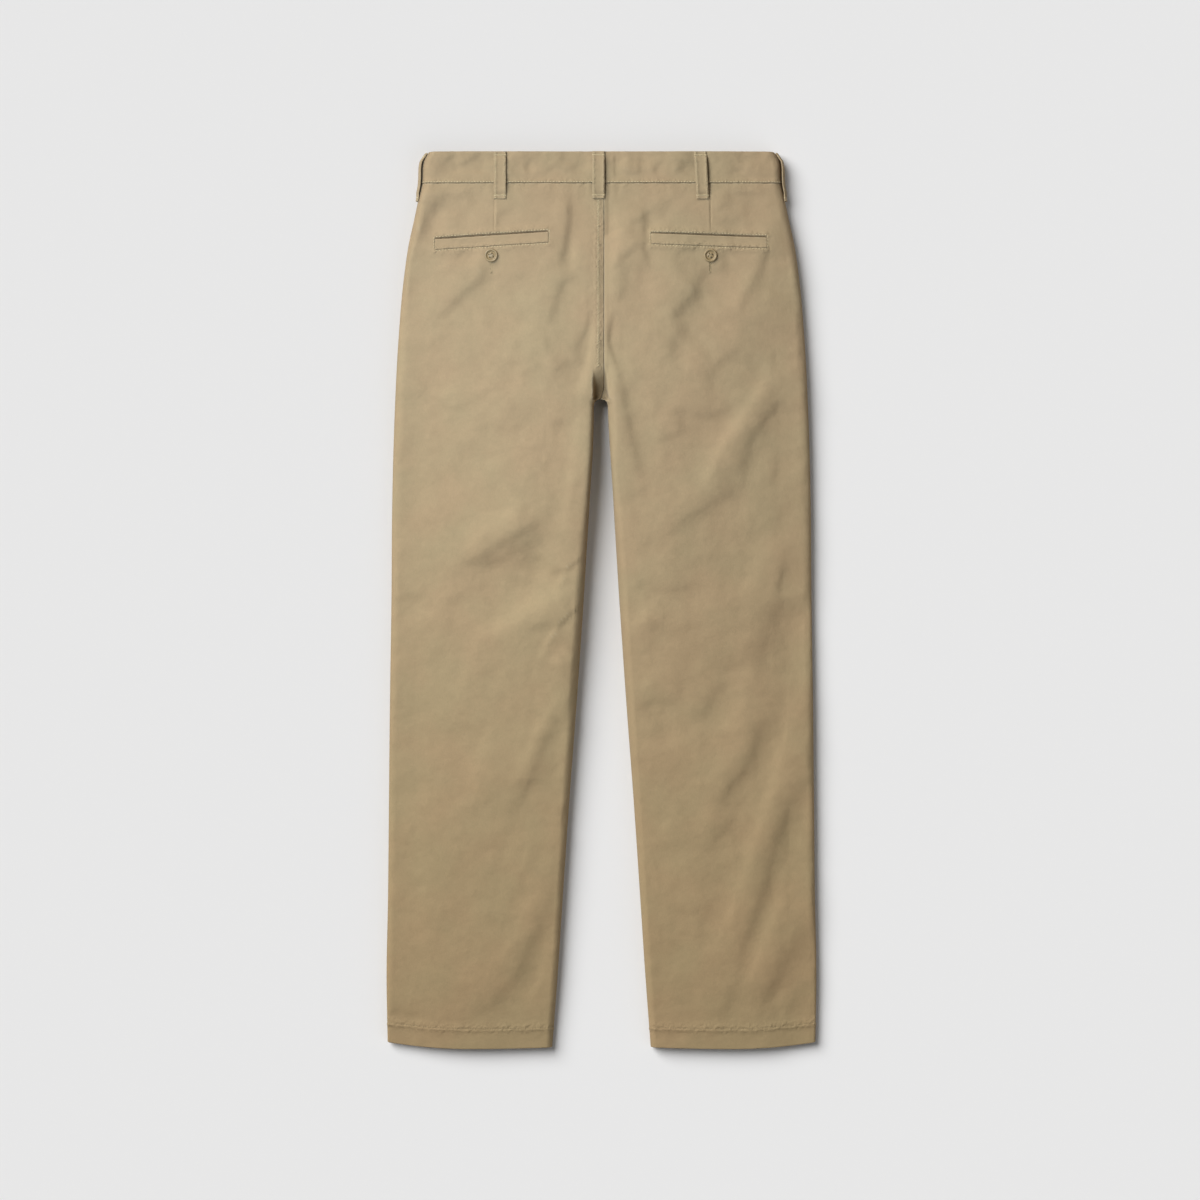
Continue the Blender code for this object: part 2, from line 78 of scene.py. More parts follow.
camera_data = bpy.data.cameras.new("straight_down")
camera_data.lens = camera_data.sensor_width * (CAMERA_HEIGHT - CLOTH_LEVEL) / (PHOTO_PIXELS * PIXEL)
camera_data.clip_end = 50.0
camera = bpy.data.objects.new("straight_down", camera_data)
camera.location = ((PHOTO_PIXELS / 2 - MIDDLE_OF_GARMENT[0]) * PIXEL,
                   (MIDDLE_OF_GARMENT[1] - PHOTO_PIXELS / 2) * PIXEL, CAMERA_HEIGHT)
bpy.context.scene.collection.objects.link(camera)
bpy.context.scene.camera = camera
print("lens", round(camera_data.lens, 1), "mm")

# %% [markdown]
# ## Sizes and sections
#
# Loose trousers are four tubes of cloth pressed nearly flat.  The table gives the outline
# of one side at several places down the garment, as a pattern maker would note it: half
# the width, half the gap between the legs, and how high the cloth stands at the outer and
# at the inner edge.  A smooth curve through the rows gives every place between them.

# %% Driving sizes
LENGTH = 1.078
WAIST_EDGE_Y = LENGTH / 2
CLOTH = 0.0011                      # one layer, drawn about twice as thick as real twill
SEAM_GAP = 0.0003                   # between neighbouring pieces
WAISTBAND_DEPTH = 0.038
WAISTBAND_THICKNESS = 0.0026
WAISTBAND_PROUD = 0.0006
WAISTBAND_OVERLAP = 0.020
WAISTBAND_UNDERLAP = 0.016
LAP_STEP = 0.0031                   # the right half rises this much to lie under the left one
HEM_DEPTH = 0.025
HEM_LINE = LENGTH - HEM_DEPTH
HEM_RISES_FROM = 0.900              # below this drop the hem's line curves up to the seams
HEM_SIDE_RISE = 0.0080
HEM_INNER_RISE = 0.0020
HEM_SAG = 0.0030                    # the empty end of a leg sinks a little in its middle
EDGE_SAG = 0.0024                   # the cloth lies lower towards the side seam
CROTCH_DROP = 0.297
CROTCH_RADIUS = 0.009
SEAT_DIVE_DROP = 0.258              # from here to the crotch the seam bends down
SEAT_VALLEY = 0.0022                # how deep the seat seam lies between the two sides
SEAT_VALLEY_FROM = 0.040            # and between which drops it sinks there
SEAT_VALLEY_OVER = 0.050
SEAT_CROWN = 0.0015
SEAM_SHARE = 0.42                   # height of the side seams and inseams, as a share of the edge
FRONT_LIFT = 0.00465                # the front waist lies this high, on its loops
FRONT_SINKS_FROM = 0.036            # below this drop it comes down to the surface
FRONT_SINKS_OVER = 0.070
LOOP_WIDTH = 0.015
OUTER_BEND = 0.95                   # under 1, an edge is fuller than a quarter circle
INNER_BEND = 0.45
BEND_EASES_FROM = 0.36              # below this drop the inner bend eases to a quarter circle
BEND_EASES_OVER = 0.18

Section = namedtuple(
    "Section",
    "drop half_width half_gap outer_height inner_height outer_round inner_round")
SECTIONS = [
    Section(0.000, 0.2066, 0.0084, 0.0190, 0.0210, 0.010, 0.010),
    Section(0.005, 0.2104, 0.0084, 0.0192, 0.0212, 0.010, 0.010),
    Section(0.038, 0.2160, 0.0084, 0.0200, 0.0228, 0.011, 0.010),
    Section(0.059, 0.2206, 0.0084, 0.0206, 0.0242, 0.012, 0.010),
    Section(0.083, 0.2256, 0.0084, 0.0212, 0.0260, 0.013, 0.011),
    Section(0.107, 0.2310, 0.0084, 0.0218, 0.0276, 0.014, 0.012),
    Section(0.155, 0.2380, 0.0084, 0.0224, 0.0304, 0.014, 0.014),
    Section(0.227, 0.2442, 0.0084, 0.0226, 0.0336, 0.014, 0.015),
    Section(0.323, 0.2490, 0.0085, 0.0222, 0.0360, 0.014, 0.015),
    Section(0.419, 0.2516, 0.0139, 0.0206, 0.0356, 0.014, 0.013),
    Section(0.539, 0.2526, 0.0212, 0.0194, 0.0320, 0.012, 0.012),
    Section(0.659, 0.2544, 0.0294, 0.0192, 0.0262, 0.011, 0.011),
    Section(0.779, 0.2556, 0.0384, 0.0192, 0.0228, 0.010, 0.010),
    Section(0.899, 0.2568, 0.0465, 0.0190, 0.0212, 0.010, 0.009),
    Section(0.995, 0.2585, 0.0528, 0.0184, 0.0198, 0.009, 0.009),
    Section(1.078, 0.2572, 0.0590, 0.0172, 0.0178, 0.009, 0.008),
]
SeamPlace = namedtuple("SeamPlace", "drop x")
SEAT_SEAM = [
    SeamPlace(0.000, 0.0030),
    SeamPlace(0.285, 0.0030),
    SeamPlace(0.297, -0.0010),
    SeamPlace(0.360, 0.0000),
]

# %% [markdown]
# ### Gradual changes
#
# Nothing on cloth begins or ends abruptly.  A few small functions fade a value in or out
# over a length, or give the cross-section of a groove, and all the relief below uses them.

# %% Gradual changes
MM = 0.001
LEFT = -1
RIGHT = 1
WORD = {LEFT: "left", RIGHT: "right"}


def smooth_step(value):
    """Ease from 0 to 1, level at both ends."""
    value = np.clip(value, 0.0, 1.0)
    return value * value * (3.0 - 2.0 * value)


def fade_in(value, start, length):
    """0 up to start, then smoothly up to 1 over a length."""
    return smooth_step((value - start) / length)


def fade_out(value, end, length):
    """Smoothly down over a length, to 0 from end on."""
    return smooth_step((end - value) / length)


def groove(away, width):
    """1 on a line, and less and less away from it on both sides."""
    return np.exp(-(away / width) ** 2)


# %% [markdown]
# ### The outline at any place
#
# Every place on a panel is found from its drop, which is its distance below the waist
# edge.  These functions read the table there, and give the edges of a leg: the centre seam
# or the inseam on the inner side, and the side seam on the outer one.

# %% Outline
def along(column, drop):
    """One column of SECTIONS at a drop, on a smooth curve through the rows."""
    places = np.array([row.drop for row in SECTIONS])
    values = np.array([getattr(row, column) for row in SECTIONS])
    slopes = np.gradient(values, places)
    first = np.clip(np.searchsorted(places, drop) - 1, 0, len(places) - 2)
    span = places[first + 1] - places[first]
    t = (drop - places[first]) / span
    return ((2 * t**3 - 3 * t**2 + 1) * values[first]
            + (t**3 - 2 * t**2 + t) * span * slopes[first]
            + (3 * t**2 - 2 * t**3) * values[first + 1]
            + (t**3 - t**2) * span * slopes[first + 1])


def x_at(places, drop):
    """Reads a line that is given by a few places, straight between them."""
    return np.interp(drop, [place.drop for place in places], [place.x for place in places])


def seat_seam_x(drop):
    return x_at(SEAT_SEAM, drop)


def inner_edge_x(side, drop):
    """The centre seam's edge, then half of the gap between the legs, round at its end."""
    reach = np.clip((drop - CROTCH_DROP) / CROTCH_RADIUS, 0.0, 1.0)
    half_gap = along("half_gap", drop) * np.sqrt(1.0 - (1.0 - reach) ** 2)
    return side * seat_seam_x(drop) + half_gap + SEAM_GAP / 2


def inner_shoulder_x(drop):
    """Where the rounding of the inner edge ends."""
    return along("half_gap", drop) + along("inner_round", drop)


def outer_shoulder_x(drop):
    """Where the rounding of the side edge starts."""
    return along("half_width", drop) - along("outer_round", drop)


def crotch_dive(drop):
    """0 above the crotch's bend, 1 from the crotch down."""
    return np.clip((drop - SEAT_DIVE_DROP) / (CROTCH_DROP - SEAT_DIVE_DROP), 0.0, 1.0)


def front_rest(drop):
    """Height of the underside: the front waist is held up by its loops."""
    return FRONT_LIFT * (1.0 - fade_in(drop, FRONT_SINKS_FROM, FRONT_SINKS_OVER))


def inner_seam_height(layer, drop):
    """The seat seam lies near the top and bends down to the inseam before the crotch."""
    crown = along("inner_height", drop)
    inseam = SEAM_SHARE * crown
    bend = np.sqrt(1.0 - crotch_dive(drop) ** 2)
    if layer == "back":
        valley = SEAT_VALLEY * fade_in(drop, SEAT_VALLEY_FROM, SEAT_VALLEY_OVER)
        return inseam + (crown - valley - inseam) * bend
    return inseam + (front_rest(drop) - inseam) * bend


def hem_rise(share, drop):
    """How far the hem's line curves up towards its two ends."""
    near_hem = fade_in(drop, HEM_RISES_FROM, LENGTH - HEM_RISES_FROM)
    outwards = np.clip(2.0 * share - 1.0, 0.0, 1.0) ** 2
    inwards = np.clip(1.0 - 2.0 * share, 0.0, 1.0) ** 2
    return near_hem * (HEM_SIDE_RISE * outwards + HEM_INNER_RISE * inwards)


# %% [markdown]
# ### The form of a panel
#
# Seen from the hem, each layer runs from the inner seam over a rounded edge, across a
# nearly flat middle and down round the side edge.  One value, across, counts through these
# three stretches, so that all later steps can name a place on the cloth by two numbers.

# %% Panel form
def round_edge(share, bend):
    """Cosine and sine of a quarter turn, both raised to a power for a fuller bend."""
    turn = share * math.pi / 2
    return np.clip(np.cos(turn), 0.0, 1.0) ** bend, np.clip(np.sin(turn), 0.0, 1.0) ** bend


def panel_form(layer, side, drop, across):
    """Outer face of a panel without its creases, as x, y and z.

    across runs from 0 at the centre seam or inseam to 1 where the inner rounding ends,
    to 2 where the outer rounding starts and to 3 at the side seam.
    """
    drop, across = np.broadcast_arrays(np.asarray(drop, float), np.asarray(across, float))
    inner_x = inner_edge_x(side, drop)
    shoulder_x = inner_shoulder_x(drop)
    outer_x = along("half_width", drop)
    outer_round = along("outer_round", drop)
    if layer == "back":
        inner_top = along("inner_height", drop)
        outer_top = along("outer_height", drop)
        apart = SEAM_GAP / 2
    else:
        inner_top = front_rest(drop)
        outer_top = inner_top
        apart = -SEAM_GAP / 2
    at_inseam = crotch_dive(drop)
    inner_seam = inner_seam_height(layer, drop) + apart * at_inseam
    outer_seam = SEAM_SHARE * along("outer_height", drop) + apart
    inner = np.clip(across, 0.0, 1.0)
    flat = np.clip(across - 1.0, 0.0, 1.0)
    outer_bend, inner_bend = 1.0, 1.0
    if layer == "back":
        outer_bend = OUTER_BEND
        eased = fade_in(drop, BEND_EASES_FROM, BEND_EASES_OVER)
        inner_bend = INNER_BEND + (1.0 - INNER_BEND) * eased
    outer_cosine, outer_sine = round_edge(np.clip(across - 2.0, 0.0, 1.0), outer_bend)
    inner_cosine, inner_sine = round_edge(inner, inner_bend)
    reach = (1.0 - at_inseam) * inner + at_inseam * (1.0 - inner_cosine)
    climb = (1.0 - at_inseam) * smooth_step(inner) + at_inseam * inner_sine
    span = outer_x - outer_round - shoulder_x
    x = inner_x + (shoulder_x - inner_x) * reach + span * flat + outer_round * outer_sine
    z = (inner_seam + (inner_top - inner_seam) * climb
         + (outer_top - inner_top) * smooth_step(flat)
         - (outer_top - outer_seam) * (1.0 - outer_cosine))
    if layer == "back":
        z = z + SEAT_CROWN * np.sin(math.pi * flat)
    share = (x - inner_x) / (outer_x - inner_x)
    y = WAIST_EDGE_Y - drop + hem_rise(share, drop)
    return np.stack([side * x, y, z], axis=-1)


def place_across(side, drop, x):
    """The value of across where a place above the crotch lies at x."""
    inner_x = inner_edge_x(side, drop)
    shoulder_x = inner_shoulder_x(drop)
    inner = np.clip((side * x - inner_x) / (shoulder_x - inner_x), 0.0, 1.0)
    flat = np.clip((side * x - shoulder_x) / (outer_shoulder_x(drop) - shoulder_x), 0.0, 1.0)
    return inner + flat


# %% [markdown]
# ## Creases
#
# Cloth that was worn, washed and then smoothed by hand keeps soft creases: they fan out
# from the crotch and from the hips, and run slantwise down the legs.  A simulation would
# invent other ones, so each crease is listed one by one.  The lamp stands at the upper left.
# Where the cloth falls away from it a dark band shows, and where it climbs a bright one,
# so each row of the table is one such band: how steep it is, in percent, half of its width
# in millimetres, and the line that its middle follows, as x and drop in millimetres.  A
# positive slope is a fall, a negative one a climb.

# %% Crease table
Crease = namedtuple("Crease", "name slope width line")


def creases(*rows):
    """Names the columns of a table: name, slope, width and then the places of the line."""
    return [Crease(name, slope, width, line) for name, slope, width, *line in rows]


CREASES = creases(
    # left seat
    ("hip_left", 36, 12, (-176, 44), (-194, 60), (-207, 76), (-214, 92), (-222, 112)),
    ("hip_left_low", 25, 7, (-216, 98), (-226, 125), (-230, 150), (-231, 190)),
    ("hip_left_light", -19, 8, (-186, 66), (-193, 84), (-199, 100)),
    ("waist_left", 28, 5, (-150, 42), (-165, 51), (-180, 59)),
    ("waist_left_fine", 15, 4, (-142, 48), (-158, 66), (-171, 82), (-172, 96)),
    ("left_of_dart", 18, 4, (-104, 67), (-121, 77), (-127, 95)),
    ("seat_left", 61, 5, (-41, 46), (-39, 70), (-40, 92), (-43, 112), (-47, 127), (-52, 142)),
    ("seat_left_light", -18, 5, (-31, 100), (-33, 125), (-35, 145)),
    ("seat_left_low", 28, 8, (-30, 150), (-46, 160), (-52, 176), (-57, 192), (-68, 216)),
    ("button_left_light", -22, 6, (-144, 112), (-151, 128), (-161, 142)),
    ("button_left", 32, 7, (-139, 126), (-142, 150), (-155, 164), (-176, 182), (-206, 214)),
    ("welt_left_under", 13, 5, (-120, 157), (-105, 152), (-86, 146)),
    ("seat_left_swell", -10, 14, (-128, 230), (-98, 213), (-76, 200)),
    ("seat_left_smudge", 8, 6, (-120, 252), (-107, 255), (-92, 247)),
    ("seat_left_smudge_low", 10, 6, (-100, 272), (-88, 265), (-70, 262)),
    ("rise_left", 18, 4, (-15, 190), (-18, 214), (-26, 228), (-31, 250)),
    ("rise_left_low", 13, 5, (-38, 248), (-48, 260), (-62, 270)),
    ("rise_left_light", -48, 6, (-11, 192), (-12, 225), (-15, 252), (-22, 278), (-30, 306)),
    ("hip_left_foot", 11, 11, (-232, 248), (-216, 270), (-212, 296)),
    ("beside_welt_left", 8, 6, (-190, 126), (-180, 136), (-184, 152)),
    # right seat
    ("seat_right_light", -21, 7, (17, 52), (18, 88), (20, 108), (12, 134), (10, 182)),
    ("seat_right", 46, 4.5, (49, 56), (51, 76), (52, 92), (52, 108), (51, 120), (61, 148)),
    ("seat_right_blot", 17, 12, (30, 86), (38, 99), (50, 112)),
    ("above_welt_right", 10, 7, (85, 62), (77, 77), (69, 87)),
    ("rise_right", 48, 6, (16, 184), (12, 205), (9, 222), (11, 238), (17, 254), (22, 272)),
    ("rise_right_low", 28, 7, (20, 262), (26, 290), (31, 318), (36, 342), (44, 372), (54, 394)),
    ("rise_right_light", -53, 4, (9, 252), (10, 270), (11, 292), (14, 328), (18, 366)),
    ("rise_right_high", 10, 6, (31, 128), (28, 160), (18, 188)),
    ("button_right", 24, 6, (126, 136), (121, 150), (115, 164), (106, 176)),
    ("button_right_blot", 38, 11, (124, 164), (108, 177), (95, 192), (80, 206)),
    ("button_right_low", 15, 10, (106, 204), (92, 222), (80, 244)),
    ("button_right_side", 17, 4, (143, 118), (148, 132), (145, 148)),
    ("under_welt_right", 13, 4, (92, 115), (104, 120), (108, 128)),
    ("hip_right", 22, 5, (212, 78), (214, 108), (216, 134), (219, 162)),
    ("hip_right_light", -14, 4, (205, 98), (207, 124), (203, 146)),
    ("hip_right_edge_light", -13, 5, (224, 118), (228, 148), (231, 178)),
    ("hip_right_slant", 20, 5, (201, 104), (197, 126), (188, 150), (176, 172), (160, 206)),
    ("hip_right_swell", -13, 12, (184, 142), (164, 168), (150, 196)),
    ("hip_right_low", 11, 9, (213, 160), (220, 196), (222, 240)),
    ("hip_right_outer", 10, 5, (234, 184), (238, 222), (241, 262)),
    ("waist_right", 23, 5, (148, 44), (164, 50), (182, 50), (202, 56)),
    ("waist_right_fine", 18, 3.5, (136, 74), (146, 66), (158, 62)),
    ("waist_right_low", 18, 7, (142, 86), (156, 82), (176, 86)),
    ("seat_right_low", 14, 8, (122, 288), (132, 268), (146, 250), (168, 236)),
    ("seat_right_low_light", -18, 8, (200, 246), (194, 276), (182, 304)),
    ("seat_right_smudge", 8, 6, (92, 238), (80, 250)),
    # left thigh
    ("thigh_left_high", 10, 6, (-202, 298), (-180, 308), (-160, 302), (-144, 309)),
    ("thigh_left_arc", 11, 7, (-142, 322), (-124, 331), (-106, 334), (-90, 320), (-68, 304)),
    ("thigh_left_low", 8, 7, (-176, 352), (-150, 357), (-122, 368)),
    ("thigh_left_inner", 9, 5, (-88, 368), (-77, 356), (-66, 355)),
    ("thigh_left_edge", 9, 5, (-64, 329), (-50, 326), (-36, 331)),
    ("thigh_left_strip", -18, 9, (-25, 290), (-31, 345), (-38, 392), (-46, 444), (-54, 490)),
    ("thigh_left_swell", -8, 12, (-156, 462), (-120, 440), (-84, 414)),
    ("thigh_left_fold", 24, 9, (-184, 502), (-156, 493), (-134, 480), (-114, 468), (-90, 455), (-68, 440)),
    ("thigh_left_fold_low", 20, 13, (-156, 503), (-126, 492), (-100, 479), (-68, 464)),
    ("thigh_left_fold_foot", 10, 9, (-114, 504), (-92, 494), (-62, 484)),
    ("knee_left_short", 17, 5, (-72, 509), (-58, 505), (-46, 504), (-34, 518)),
    ("knee_left_short_light", -11, 7, (-58, 500), (-70, 508), (-84, 520)),
    ("knee_left_light", -22, 13, (-30, 520), (-56, 530), (-84, 543), (-112, 562), (-134, 584)),
    ("knee_left_smudge", 7, 5, (-114, 514), (-98, 520), (-80, 514)),
    ("knee_left_outer", 11, 5, (-248, 540), (-230, 532), (-210, 536)),
    ("knee_left_low", 12, 8, (-100, 573), (-76, 570), (-58, 569), (-40, 590)),
    ("knee_left_wide", 6, 15, (-194, 540), (-180, 568), (-168, 596)),
    # right thigh
    ("thigh_right_blot", 9, 7, (64, 346), (82, 342), (98, 336), (106, 322)),
    ("thigh_right_arc", 13, 8, (76, 320), (94, 311), (112, 316), (130, 318), (148, 310), (168, 296)),
    ("thigh_right_light", -22, 9, (188, 288), (170, 314), (152, 340), (136, 364), (124, 392), (112, 416)),
    ("thigh_right_fold", 22, 11, (218, 290), (206, 310), (190, 330), (178, 350), (172, 376), (168, 406)),
    ("thigh_right_sweep", 15, 10, (172, 392), (150, 411), (126, 428), (102, 443), (72, 466)),
    ("thigh_right_smudge", 8, 8, (206, 356), (209, 382), (198, 408)),
    ("thigh_right_inner", 10, 5, (28, 422), (44, 410), (57, 401)),
    ("thigh_right_swell", -9, 12, (196, 452), (190, 484), (176, 516), (150, 546)),
    ("knee_right_outer", 15, 6, (238, 460), (226, 478), (219, 500), (213, 520), (210, 544)),
    ("knee_right_inner", 11, 7, (36, 532), (54, 519), (74, 528), (104, 523), (136, 516)),
    ("knee_right_inner_light", -9, 6, (60, 540), (50, 558), (30, 574)),
    ("knee_right_low", 9, 7, (42, 572), (62, 568), (84, 575), (104, 570), (130, 567)),
    ("knee_right_wide", 12, 18, (220, 530), (206, 562), (196, 596), (180, 636)),
    ("knee_right_edge", 9, 4, (230, 542), (240, 536), (252, 526)),
    ("knee_right_edge_light", -10, 6, (244, 556), (238, 584), (240, 612)),
    # left calf
    ("calf_left_edge", 24, 8, (-31, 596), (-35, 626), (-38, 656), (-44, 690)),
    ("calf_left_knob", -11, 6, (-40, 596), (-50, 604), (-64, 616)),
    ("calf_left_light", -11, 9, (-46, 640), (-62, 666), (-80, 698), (-96, 736), (-116, 772)),
    ("calf_left", 14, 11, (-44, 670), (-60, 692), (-74, 724), (-86, 756), (-104, 792), (-124, 846)),
    ("calf_left_swell", -9, 15, (-138, 690), (-148, 724), (-156, 756), (-148, 784)),
    ("calf_left_strip", -11, 5, (-46, 696), (-50, 730), (-56, 764)),
    ("calf_left_dent", 13, 4, (-40, 780), (-46, 796), (-50, 814)),
    ("shin_left", 7, 6, (-232, 786), (-208, 812), (-188, 838), (-178, 862)),
    ("shin_left_edge", 7, 5, (-246, 824), (-240, 852), (-236, 870)),
    ("ankle_left_light", -8, 9, (-74, 880), (-92, 908), (-108, 944), (-132, 976)),
    ("ankle_left", 13, 12, (-54, 874), (-70, 916), (-84, 954), (-102, 990), (-130, 1022), (-168, 1044)),
    ("ankle_left_strip", -9, 6, (-66, 940), (-68, 970), (-78, 1002), (-98, 1036)),
    ("hem_left", 10, 6, (-246, 1028), (-234, 1037), (-214, 1042)),
    # right calf
    ("calf_right_slant", 12, 7, (152, 636), (136, 650), (126, 668), (118, 688)),
    ("calf_right_blot", 13, 8, (44, 676), (58, 662), (74, 660), (96, 666)),
    ("calf_right_blot_light", -10, 7, (52, 706), (78, 714), (100, 708)),
    ("calf_right_knot", 9, 4, (34, 634), (40, 648)),
    ("calf_right_inner", 17, 9, (204, 672), (188, 698), (182, 722), (168, 746), (150, 770), (132, 796)),
    ("calf_right_inner_low", 11, 8, (164, 796), (146, 814), (132, 834), (116, 850)),
    ("calf_right_light", -13, 8, (244, 616), (230, 660), (218, 712), (204, 764), (186, 818),
     (170, 868), (150, 922), (136, 958)),
    ("calf_right", 17, 10, (248, 722), (236, 762), (221, 802), (206, 846), (196, 886), (180, 928),
     (169, 966), (158, 1010)),
    ("calf_right_foot", 10, 7, (160, 1000), (150, 1024), (140, 1046)),
    ("shin_right_smudge", 7, 10, (110, 876), (128, 900), (116, 926)),
    ("shin_right_dent", 8, 5, (60, 836), (68, 864)),
    ("shin_right_light", -13, 9, (224, 850), (212, 896), (198, 934), (186, 970), (172, 1012)),
    ("shin_right_edge_light", -9, 7, (248, 776), (242, 812), (236, 852)),
    ("shin_right_swell", -6, 8, (104, 944), (124, 956), (146, 954)),
    ("ankle_right", 12, 13, (254, 912), (240, 942), (222, 974), (204, 1008), (184, 1046)),
    ("ankle_right_edge", 10, 5, (250, 990), (240, 1014), (226, 1038)),
    ("ankle_right_light", -8, 5, (222, 1002), (208, 1030)),
    ("calf_right_rim", 8, 6, (246, 706), (250, 736), (250, 766)),
)
print("creases placed by hand:", len(CREASES))

# %% [markdown]
# ### How a crease shapes the cloth
#
# Each band is a fall or a climb across its line.  Away from the line the cloth comes back
# slowly on both sides, and the band fades out at both ends.

# %% How a crease shapes the cloth
POINTS_PER_CORNER = 5
RECOVERY = 4.0                         # the cloth comes back up over this many half widths
SOFTNESS = 1.15                        # bands fade out a little beyond their marked width
SHARPNESS = 1.1                        # divides the depth: a fall is steepest in its middle
STRENGTH = 1.9                         # all creases are made this much stronger than listed
SOFT_SHARE = 0.65                      # of a fall is soft, and the rest is sharp
SOFT_STEEPNESS = 0.9
SHARP_STEEPNESS = 2.6
STEEPEST = 40.0                        # steeper bands are eased towards this slope, in percent
END_LEFT = 0.12                        # share of its depth that a crease has at its very ends
END_RAMP = 0.30                        # share of its length over which it gains its full depth
END_FADE = 1.5                         # half widths over which it fades out past its ends
REACH = 2.2                            # times the recovery: nothing further away is touched
AWAY_FROM_LAMP = np.array([0.7071, 0.7071])      # in x and drop


def smooth_line(corners, count):
    """A smooth curve through given points, read at count places."""
    corners = np.array(corners, float) * MM
    if len(corners) == 2:
        corners = np.array([corners[0], corners.mean(axis=0), corners[1]])
    ends = np.concatenate([[2 * corners[0] - corners[1]], corners, [2 * corners[-1] - corners[-2]]])
    at = np.linspace(0.0, len(corners) - 1.0 - 1e-9, count)
    first = at.astype(int)
    t = (at - first)[:, None]
    p0, p1, p2, p3 = (ends[first + k] for k in range(4))
    return 0.5 * (2 * p1 + (p2 - p0) * t + (2 * p0 - 5 * p1 + 4 * p2 - p3) * t**2
                  + (3 * p1 - p0 - 3 * p2 + p3) * t**3)


def crease_depth(crease, x, drop):
    """How far one crease sinks the cloth: a fall along its line, with slow ways back."""
    x, drop = np.broadcast_arrays(x, drop)
    line = smooth_line(crease.line, POINTS_PER_CORNER * len(crease.line))
    width = SOFTNESS * crease.width * MM
    slope = STRENGTH * crease.slope / (1.0 + abs(crease.slope) / STEEPEST) / 100.0
    sunk = np.zeros(x.shape)
    low = line.min(axis=0) - REACH * RECOVERY * width
    high = line.max(axis=0) + REACH * RECOVERY * width
    near = (x > low[0]) & (x < high[0]) & (drop > low[1]) & (drop < high[1])
    at = np.stack([x[near], drop[near]], axis=-1)
    away = np.full(len(at), np.inf)
    across = np.zeros(len(at))
    beyond = np.zeros(len(at))
    place = np.zeros(len(at))
    for k in range(len(line) - 1):
        step = line[k + 1] - line[k]
        run = step / np.linalg.norm(step)
        out = np.array([-run[1], run[0]])
        if out @ AWAY_FROM_LAMP < 0.0:
            out = -out
        t = np.clip((at - line[k]) @ step / (step @ step), 0.0, 1.0)
        apart = at - line[k] - t[:, None] * step
        distance = np.linalg.norm(apart, axis=1)
        closer = distance < away
        away[closer] = distance[closer]
        across[closer] = apart[closer] @ out
        beyond[closer] = apart[closer] @ run
        place[closer] = (k + t[closer]) / (len(line) - 1)
    ends = smooth_step(END_LEFT + place / END_RAMP) * smooth_step(END_LEFT + (1.0 - place) / END_RAMP)
    soft_fall = np.tanh(SOFT_STEEPNESS * across / width)
    sharp_fall = np.tanh(SHARP_STEEPNESS * across / width)
    fall = SOFT_SHARE * soft_fall + (1.0 - SOFT_SHARE) * sharp_fall
    back = groove(across, RECOVERY * width) * groove(beyond, END_FADE * width)
    sunk[near] = width * slope / SHARPNESS * ends * fall * back
    return sunk


# %% [markdown]
# ## Slight unevenness
#
# Between its creases the cloth is never quite flat.  Heights drawn at random on a few
# coarse grids, always from the same seed, are blended smoothly and added up.  The coarse
# grids give slow swells and the fine one gives the crumpled look of washed cotton.

# %% Random swells
Swell = namedtuple("Swell", "spacing height")
SWELLS = [Swell(0.064, 1.00), Swell(0.034, 0.70), Swell(0.019, 0.52), Swell(0.010, 0.28)]
FIRST_SEED = 40
GRID_COLUMNS = 80
GRID_ROWS = 160
GRID_START = 0.40
Slant = namedtuple("Slant", "by_x by_drop")
GRID_ACROSS = Slant(0.90, 0.28)     # the grids lie aslant on the cloth and are stretched a little
GRID_DOWN = Slant(-0.34, 0.80)
CALM_AT_HEM = 0.4                   # the swells are this much lower at the hems
swell_grids = [np.random.default_rng(FIRST_SEED + k).uniform(-1.0, 1.0, (GRID_COLUMNS, GRID_ROWS))
               for k in range(len(SWELLS))]


def rounder_step(value):
    """Like smooth_step, but without a change of curvature at its ends."""
    return value * value * value * (value * (6.0 * value - 15.0) + 10.0)


def unevenness(x, drop):
    """Smoothly blended random heights, in metres."""
    total = 0.0 * (x + drop)
    calm = 1.0 - CALM_AT_HEM * fade_in(drop, 0.92, 0.10)
    for swell, grid in zip(SWELLS, swell_grids):
        across = (x * GRID_ACROSS.by_x + drop * GRID_ACROSS.by_drop + GRID_START) / swell.spacing
        down = (x * GRID_DOWN.by_x + drop * GRID_DOWN.by_drop + GRID_START) / swell.spacing
        column = np.floor(across).astype(int)
        row = np.floor(down).astype(int)
        u = rounder_step(across - column)
        v = rounder_step(down - row)
        left, right = column % GRID_COLUMNS, (column + 1) % GRID_COLUMNS
        low, high = row % GRID_ROWS, (row + 1) % GRID_ROWS
        upper = grid[left, low] * (1 - u) + grid[right, low] * u
        lower = grid[left, high] * (1 - u) + grid[right, high] * u
        total += calm * swell.height * MM * (upper * (1 - v) + lower * v)
    return total


# %% [markdown]
# ## Pockets, darts and the felled seat seam
#
# Sewing leaves its own relief.  The slit of a welt pocket is a narrow gap above a strip of
# cloth, a dart is a fine groove from the waist down to the slit, and the allowance of the
# seat seam is pressed to the left and stitched down, so it shows as a low flat step.

